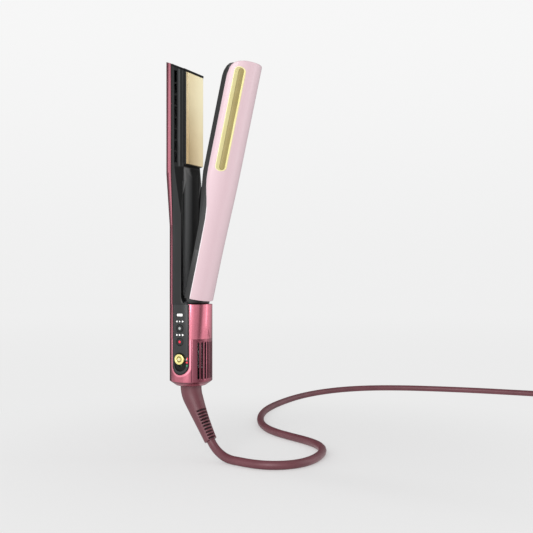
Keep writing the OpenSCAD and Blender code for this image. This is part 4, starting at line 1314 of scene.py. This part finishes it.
# %% The slotted wall
CELL_STEP = math.radians(360 / 34)
CELL_COUNT = 25
CELL_START = math.radians(-90) + 5 * CELL_STEP
CAGE_LOW = -36
CAGE_HIGH = 5.9
SLOT_SPAN = (-33, 3)

cage_wall = Shape(
    "cage_wall",
    cell_width=2 * BARREL_R * math.sin(CELL_STEP / 2) * MM,
    cell_height=(CAGE_HIGH - CAGE_LOW) * MM,
    slot_width=2 * MM,
    slot_height=(SLOT_SPAN[1] - SLOT_SPAN[0]) * MM,
    radius=BARREL_R * math.cos(CELL_STEP / 2) * MM,
    middle=(CAGE_HIGH + CAGE_LOW) / 2 * MM,
    slot_rise=((SLOT_SPAN[0] + SLOT_SPAN[1]) - (CAGE_HIGH + CAGE_LOW)) / 2 * MM,
    count=CELL_COUNT,
    start=CELL_START,
    step=CELL_STEP,
)
size = cage_wall.size
plate_sides = {"Width": size["cell_width"], "Height": size["cell_height"]}
plate = cage_wall.node("GeometryNodeCurvePrimitiveQuadrilateral", None, plate_sides)
hole_sides = {"Width": size["slot_width"], "Height": size["slot_height"]}
hole = cage_wall.node("GeometryNodeCurvePrimitiveQuadrilateral", None, hole_sides)
fillet = {"Curve": hole, "Radius": size["slot_width"] * 0.499, "Count": 5}
hole = cage_wall.node("GeometryNodeFilletCurve", {"mode": "POLY"}, fillet)
hole = cage_wall.moved(hole, cage_wall.vector(y=size["slot_rise"]))
cell = cage_wall.node("GeometryNodeFillCurve", None, {"Curve": cage_wall.joined(plate, hole)})
cell_place = cage_wall.vector(x=size["radius"], z=size["middle"])
stood = cage_wall.moved(cell, cell_place, (math.radians(90), 0, math.radians(90)))
cells = cage_wall.around(stood, size["count"], size["start"], size["step"])
slotted_wall = cage_wall.finished(cells, dusty_rose, 0.003 * MM)
print("slotted wall:", len(slotted_wall.data.polygons), "faces")

# %% [markdown]
# The plain strips beside the panel's frame, and the sloping ring underneath, join onto the
# slotted wall, so that Solidify can thicken the whole cage at once. The ring's columns
# stand where the cells meet, and welding them leaves one skin.

# %% The whole cage
GAP_RIGHT = math.radians(-55.6)
GAP_LEFT = math.radians(238.8)
cell_edges = [CELL_START + CELL_STEP * (k - 0.5) for k in range(CELL_COUNT + 1)]


def spread(start, end, steps):
    """Even steps from a start to an end."""
    return [start + (end - start) * k / steps for k in range(steps + 1)]


def round_sheet(name, angles, profile):
    """An open sheet round the Z axis, from a profile of radii and heights."""
    rows = [[(r * math.cos(a), r * math.sin(a), z) for a in angles] for r, z in profile]
    return mesh_object(name, *sheet(rows))


right_edge = spread(GAP_RIGHT, cell_edges[0], 3)
left_edge = spread(cell_edges[-1], GAP_LEFT, 4)
behind_panel = spread(GAP_LEFT - 2 * math.pi, GAP_RIGHT, 12)
full_round = behind_panel[:-1] + right_edge[:-1] + cell_edges + left_edge[1:]
wall_profile = [(BARREL_R, CAGE_HIGH), (BARREL_R, CAGE_LOW)]
cone_profile = [(BARREL_R, CAGE_LOW), (19.2, -37.4), (17, -38.95), (14.75, -40.5), (13.5, -40.5)]
sides = [
    round_sheet("strip_right", right_edge, wall_profile),
    round_sheet("strip_left", left_edge, wall_profile),
    round_sheet("low_ring", full_round, cone_profile),
]


def join_into(piece, others):
    """Adds other meshes to a piece, welds where they meet, and removes the others."""
    def work(mesh):
        for other in others:
            mesh.from_mesh(other.data)
        bmesh.ops.remove_doubles(mesh, verts=mesh.verts, dist=0.02 * MM)
        for face in mesh.faces:
            middle = face.calc_center_median()
            away = Vector((middle.x, middle.y, -0.02 if middle.z < CAGE_LOW * MM else 0))
            if face.normal.dot(away) < 0:
                face.normal_flip()
            face.smooth = True
    edit(piece, work)
    for other in others:
        bpy.data.objects.remove(other)
    return piece


slotted_cage = join_into(slotted_wall, sides)
slotted_cage.name = "slotted_cage"
slotted_cage.data.materials.clear()
slotted_cage.data.materials.append(dusty_rose.material)
slotted_cage.data.materials.append(inner_black.material)
# The slots' cut walls get the inner black too: painted shade in the slots.
inside = {"material_offset": 1, "material_offset_rim": 1}
modify(slotted_cage, "SOLIDIFY", thickness=2 * MM, offset=-1, use_even_offset=True, **inside)
sharp = {"limit_method": "ANGLE", "angle_limit": math.radians(50), "use_clamp_overlap": False}
modify(slotted_cage, "BEVEL", width=0.22 * MM, segments=2, **sharp)
settle(slotted_cage)
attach(slotted_cage, "filter")
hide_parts("filter_cage")
print("slotted cage:", len(slotted_cage.data.polygons), "faces")

# %% [markdown]
# Behind the slots sits the filter itself: a screen of steel wire between two plastic rims.
# Its wire is near black: painted shade behind the slots. Rings and uprights are both rods
# along curves, repeated up the height and round the axis.

# %% The wire screen
RING_WIRES = 40
UPRIGHT_WIRES = 136
screen = Shape(
    "wire_screen",
    radius=17.95 * MM,
    wire=0.11 * MM,
    arc_start=math.radians(-44),
    arc_sweep=math.radians(271),
    low=-33.6 * MM,
    height=36 * MM,
    rings=RING_WIRES,
    uprights=UPRIGHT_WIRES,
)
size = screen.size
sweep = {"Start Angle": size["arc_start"], "Sweep Angle": size["arc_sweep"]}
arc = screen.node("GeometryNodeCurveArc", None, {"Resolution": 90, "Radius": size["radius"], **sweep})
ring_wire = screen.rod(arc, size["wire"], 4)
ring_wires = screen.stacked(ring_wire, size["rings"], size["low"], size["height"] * (1 / (RING_WIRES - 1)))
wire_ends = {
    "Start": screen.vector(x=size["radius"], z=size["low"]),
    "End": screen.vector(x=size["radius"], z=size["low"] + size["height"]),
}
upright_wire = screen.rod(screen.node("GeometryNodeCurvePrimitiveLine", None, wire_ends), size["wire"], 4)
wire_step = size["arc_sweep"] * (1 / (UPRIGHT_WIRES - 1))
upright_wires = screen.around(upright_wire, size["uprights"], size["arc_start"], wire_step)
wire_screen = screen.finished(screen.joined(ring_wires, upright_wires), screen_wire)


def arc_bar(profile, start, end, steps):
    """A closed bar with a given section, round part of the Z axis."""
    rings = []
    for a in spread(math.radians(start), math.radians(end), steps):
        rings.append([(r * math.cos(a), r * math.sin(a), z) for r, z in profile])
    return bridge(rings)


dress(wire_screen, screen_wire, "filter", "steel", "filter_mesh")
for name, outside, low, high in (("screen_top", 18.7, 2.6, 4), ("screen_base", 19.1, -35.1, -34)):
    section = [(outside, low), (outside, high), (17.6, high), (17.6, low)]
    rim = mesh_object(name, *arc_bar(section, -43, 226, 60))
    dress(outward(rim), dark_frame, "filter", "dark_frame")
print("wire screen:", len(wire_screen.data.polygons), "faces")

# %% [markdown]
# ## The control panel
# Buttons and lights follow the panel's curve, so each is an outline pushed onto the
# barrel's round: rings of that outline at growing sizes, from the middle of its face out
# to a small round at its edge, and straight back into the panel. The same helper makes
# the buttons, the light windows and the printed marks.

# %% Shapes on the barrel's round
def disc(radius, steps=28):
    """Points of a round outline."""
    turns = [2 * math.pi * k / steps for k in range(steps)]
    return [(radius * math.cos(a), radius * math.sin(a)) for a in turns]


FACE_PROFILE = ((1, 0.22), (0.985, 0.07), (0.94, 0), (0.6, 0), (0.3, 0), (0.02, 0))


def on_barrel(outline, across, up, proud, back, dish=0.0):
    """Points and faces of a closed shape whose face follows the barrel."""
    rings = [[(across + x, back, up + z) for x, z in outline]]
    for scale, sink in FACE_PROFILE:
        hollow = 0 if sink else dish * (1 - scale * scale)
        ring = []
        for x, z in outline:
            place_x = across + x * scale
            front = math.sqrt((BARREL_R + proud) ** 2 - place_x**2)
            ring.append((place_x, hollow + sink - front, up + z * scale))
        rings.append(ring)
    return bridge(rings)


def gather(*shapes):
    """Puts the points and faces of several shapes together."""
    points, faces = [], []
    for more_points, more_faces in shapes:
        start = len(points)
        points += more_points
        faces += [tuple(start + i for i in face) for face in more_faces]
    return points, faces


def closed_piece(name, shapes, finish, body, slot, *nodes, smooth_below=35):
    """A dressed piece made of closed shapes."""
    made = mesh_object(name, *gather(*shapes), smooth_below)
    return dress(outward(made), finish, body, slot, *nodes)


def rounded_box(half_x, half_z, corner, steps=6):
    """Points of a box outline with round corners."""
    ring = []
    for sx, sz, start in ((1, 1, 0), (-1, 1, 90), (-1, -1, 180), (1, -1, 270)):
        for k in range(steps + 1):
            a = math.radians(start + 90 * k / steps)
            x = sx * (half_x - corner) + corner * math.cos(a)
            ring.append((x, sz * (half_z - corner) + corner * math.sin(a)))
    return ring


def pointer(way):
    """A small triangle with soft corners that points left or right."""
    corners = ((1.2 * way, 0), (-0.7 * way, 1.1), (-0.7 * way, -1.1))
    ring = []
    for (ax, az), (bx, bz) in zip(corners, corners[1:] + corners[:1]):
        ring += [(ax + (bx - ax) * t, az + (bz - az) * t) for t in (0.12, 0.37, 0.63, 0.88)]
    return ring


print("barrel shapes ready")

# %% [markdown]
# A light bar shows that the tool is on. Above the mode button, two pointers and a dot tell
# the chosen program, and three dots under it tell the heat. Each window is a lens that
# stands a tenth of a millimetre proud.

# %% Light windows
DOT_PITCH = 3.35
BAR_Z = 29.8
UPPER_Z = 23.5
LOWER_Z = 10.3
LENS_PROUD = 0.1
light_bar = on_barrel(rounded_box(3.2, 1.25, 1.05), PANEL_X, BAR_Z, LENS_PROUD, -18.2)
upper_row = [
    on_barrel(outline, PANEL_X + DOT_PITCH * k, UPPER_Z, LENS_PROUD, -18)
    for k, outline in ((-1, pointer(-1)), (0, disc(0.7)), (1, pointer(1)))
]
lower_row = [
    on_barrel(rounded_box(0.8, 0.85, 0.6), PANEL_X + DOT_PITCH * k, LOWER_Z, LENS_PROUD, -18)
    for k in (-1, 0, 1)
]
closed_piece("light_lens", [light_bar], light_window, "base", "light_window", "light_bar")
closed_piece("upper_marks", upper_row, light_window, "base", "light_window", "upper_lights")
closed_piece("lower_marks", lower_row, light_window, "base", "light_window", "lower_lights")
print("light windows:", 1 + len(upper_row) + len(lower_row))

# %% [markdown]
# Both press buttons sit in round holes with a fine dark gap. The mode button carries a
# frost star, the usual sign for a cool air blast, and the heat button a red dot. A sign's
# own inlay is pressed into the button and moves with it, and its faint glow is painted light.

# %% Press buttons
BUTTON_R = 3.55
MODE_Z = 16.7
HEAT_Z = 3.5


def press_key(name, up, node, body):
    """A button's cap with its stem."""
    cap = on_barrel(disc(BUTTON_R, 40), PANEL_X, up, 0.12, -19.7, 0.12)
    stem = bridge([[(PANEL_X + x, y, up + z) for x, z in disc(1.2, 16)] for y in (-19.75, -18.7)])
    return closed_piece(name, [cap, stem], button_black, body, "button_black", node)


def bar_at(x, z, angle, half, width):
    """Outline of a round-ended bar, turned by an angle round its middle."""
    cos, sin = math.cos(angle), math.sin(angle)
    ring = rounded_box(half, width / 2, width * 0.45, 2)
    return [(x + p * cos - q * sin, z + p * sin + q * cos) for p, q in ring]


def frost_star(length, width, twig):
    """Outlines of a frost star: three bars, and a pair of twigs at each of their ends."""
    outlines = []
    for k in range(3):
        a = math.radians(90 + 60 * k)
        outlines.append(bar_at(0, 0, a, length, width))
        for end in (1, -1):
            fork_x, fork_z = end * 0.62 * length * math.cos(a), end * 0.62 * length * math.sin(a)
            for lean in (55, -55):
                b = a + math.radians(lean)
                x = fork_x + end * twig / 2 * math.cos(b)
                z = fork_z + end * twig / 2 * math.sin(b)
                outlines.append(bar_at(x, z, b, twig / 2, width))
    return outlines


mode_cap = press_key("mode_cap", MODE_Z, "mode_button", "mode_key")
heat_cap = press_key("heat_cap", HEAT_Z, "heat_button", "heat_key")
star_shapes = [on_barrel(outline, PANEL_X, MODE_Z, 0.08, -20.6) for outline in frost_star(1.6, 0.2, 0.6)]
closed_piece("frost_star", star_shapes, mark_white, "mode_key", "light_window")
dot_shape = on_barrel(disc(1.25, 24), PANEL_X, HEAT_Z, 0.1, -20.6)
closed_piece("heat_dot", [dot_shape], mark_red, "heat_key", "light_window")
print("buttons:", mode_cap.name, heat_cap.name)

# %% [markdown]
# Beside the slide switch are its positions: a small white flag and a red one, then a red
# dot and a green one. They are hard lacquer let into the panel, and their faint glow is
# painted light.

# %% Position marks
SIDE_X = 7.9
POSITION_MARKS = (
    ("flag_white", rounded_box(0.32, 0.95, 0.2, 3), -0.45, -13.5, -19, mark_white),
    ("flag_red", rounded_box(0.38, 1.3, 0.25, 3), 0.4, -12.9, -18.5, mark_red),
    ("stop_red", disc(0.85, 20), 0, -16.4, -18.5, mark_red),
    ("stop_green", disc(0.85, 20), 0, -19.6, -18.5, mark_green),
)
for name, outline, aside, up, back, finish in POSITION_MARKS:
    shape = on_barrel(outline, SIDE_X + aside, up, 0.04, back)
    closed_piece(name, [shape], finish, "base", "light_window")
print("position marks:", len(POSITION_MARKS))

# %% [markdown]
# The slide switch is a turned brass cap: a broad ring with a rolled edge, a groove, and a
# pale dished middle, whose faint glow is painted light. Turned parts are a profile spun
# round an axis, here along Y.

# %% Slide switch
def spun(profile, steps=48):
    """Points and faces of a closed turned part, from radii and places along Y."""
    rings = []
    for radius, y in profile:
        outline = disc(max(radius, 0.02), steps)
        rings.append([(PANEL_X + x, y, SLIDER_Z + z) for x, z in outline])
    return bridge(rings)


CAP_PROFILE = (
    (5.3, -19.96), (5.3, -22.1), (5.22, -22.42), (5.02, -22.66), (4.75, -22.78), (4.4, -22.8),
    (2.95, -22.72), (2.8, -22.6), (2.7, -22.2), (2.1, -22.2), (1.95, -22.5), (1.8, -22.6),
    (1.2, -22.5), (0.7, -22.44), (0, -22.42),
)
GROOVE_PROFILE = ((2.68, -22.05), (2.68, -22.3), (2.12, -22.3), (2.12, -22.05), (2.68, -22.05))
EYE_PROFILE = ((0.75, -22.3), (0.75, -22.52), (0.6, -22.58), (0, -22.6))
foot_outline = ((-1.5, -2), (1.5, -2), (1.5, 2), (-1.5, 2))
foot = bridge([[(PANEL_X + x, y, SLIDER_Z + z) for x, z in foot_outline] for y in (-20, -18.2)])
cap_shapes = [spun(CAP_PROFILE), foot]
cap_place = (gold_switch, "slider", "gold_switch", "slide_switch")
slide_cap = closed_piece("slide_cap", cap_shapes, *cap_place, smooth_below=40)
closed_piece("slide_groove", [spun(GROOVE_PROFILE)], button_black, "slider", "button_black")
closed_piece("slide_eye", [spun(EYE_PROFILE, 20)], mark_white, "slider", "light_window")
print("slide switch:", len(slide_cap.data.polygons), "faces")

# %% [markdown]
# ## The solids that stay
# Where a solid already has its real shape, it only gets its finish, and modifiers that
# weld its loose triangles, join the flat ones and round its edges a little, because a
# moulded or ground edge is never sharp and needs a radius to catch the light.

# %% Finish the CAD nodes
slots = {s["node"]: s["material_slot"] for s in frame["record"]["subparts"]}
PLAIN_EDGES = ("ceramic", "wire_red", "copper_ring")
OWN_FINISH = {"base_housing": housing_coat, "fixed_shell": shell_black, "fixed_tip": tip_black}
EDGE_ROUND = {
    "moving_lip": 0.7, "fixed_shell": 0.45, "fixed_plate": 0.4, "moving_plate": 0.4, "base_housing": 0.4,
}
for name, node in frame["nodes"].items():
    if not node.hide_render:
        node.data.materials.clear()
        finish = OWN_FINISH.get(name, BY_SLOT[slots[name]])
        node.data.materials.append(finish.material)
        modify(node, "WELD", merge_threshold=0.005 * MM)
        if slots[name] not in PLAIN_EDGES:
            modify(node, "DECIMATE", decimate_type="DISSOLVE", angle_limit=math.radians(0.5))
            width = EDGE_ROUND.get(name, 0.3) * MM
            sharp = {"limit_method": "ANGLE", "angle_limit": math.radians(35)}
            modify(node, "BEVEL", width=width, segments=3, harden_normals=True, **sharp)
print("solids shown as they are:", sum(not node.hide_render for node in frame["nodes"].values()))
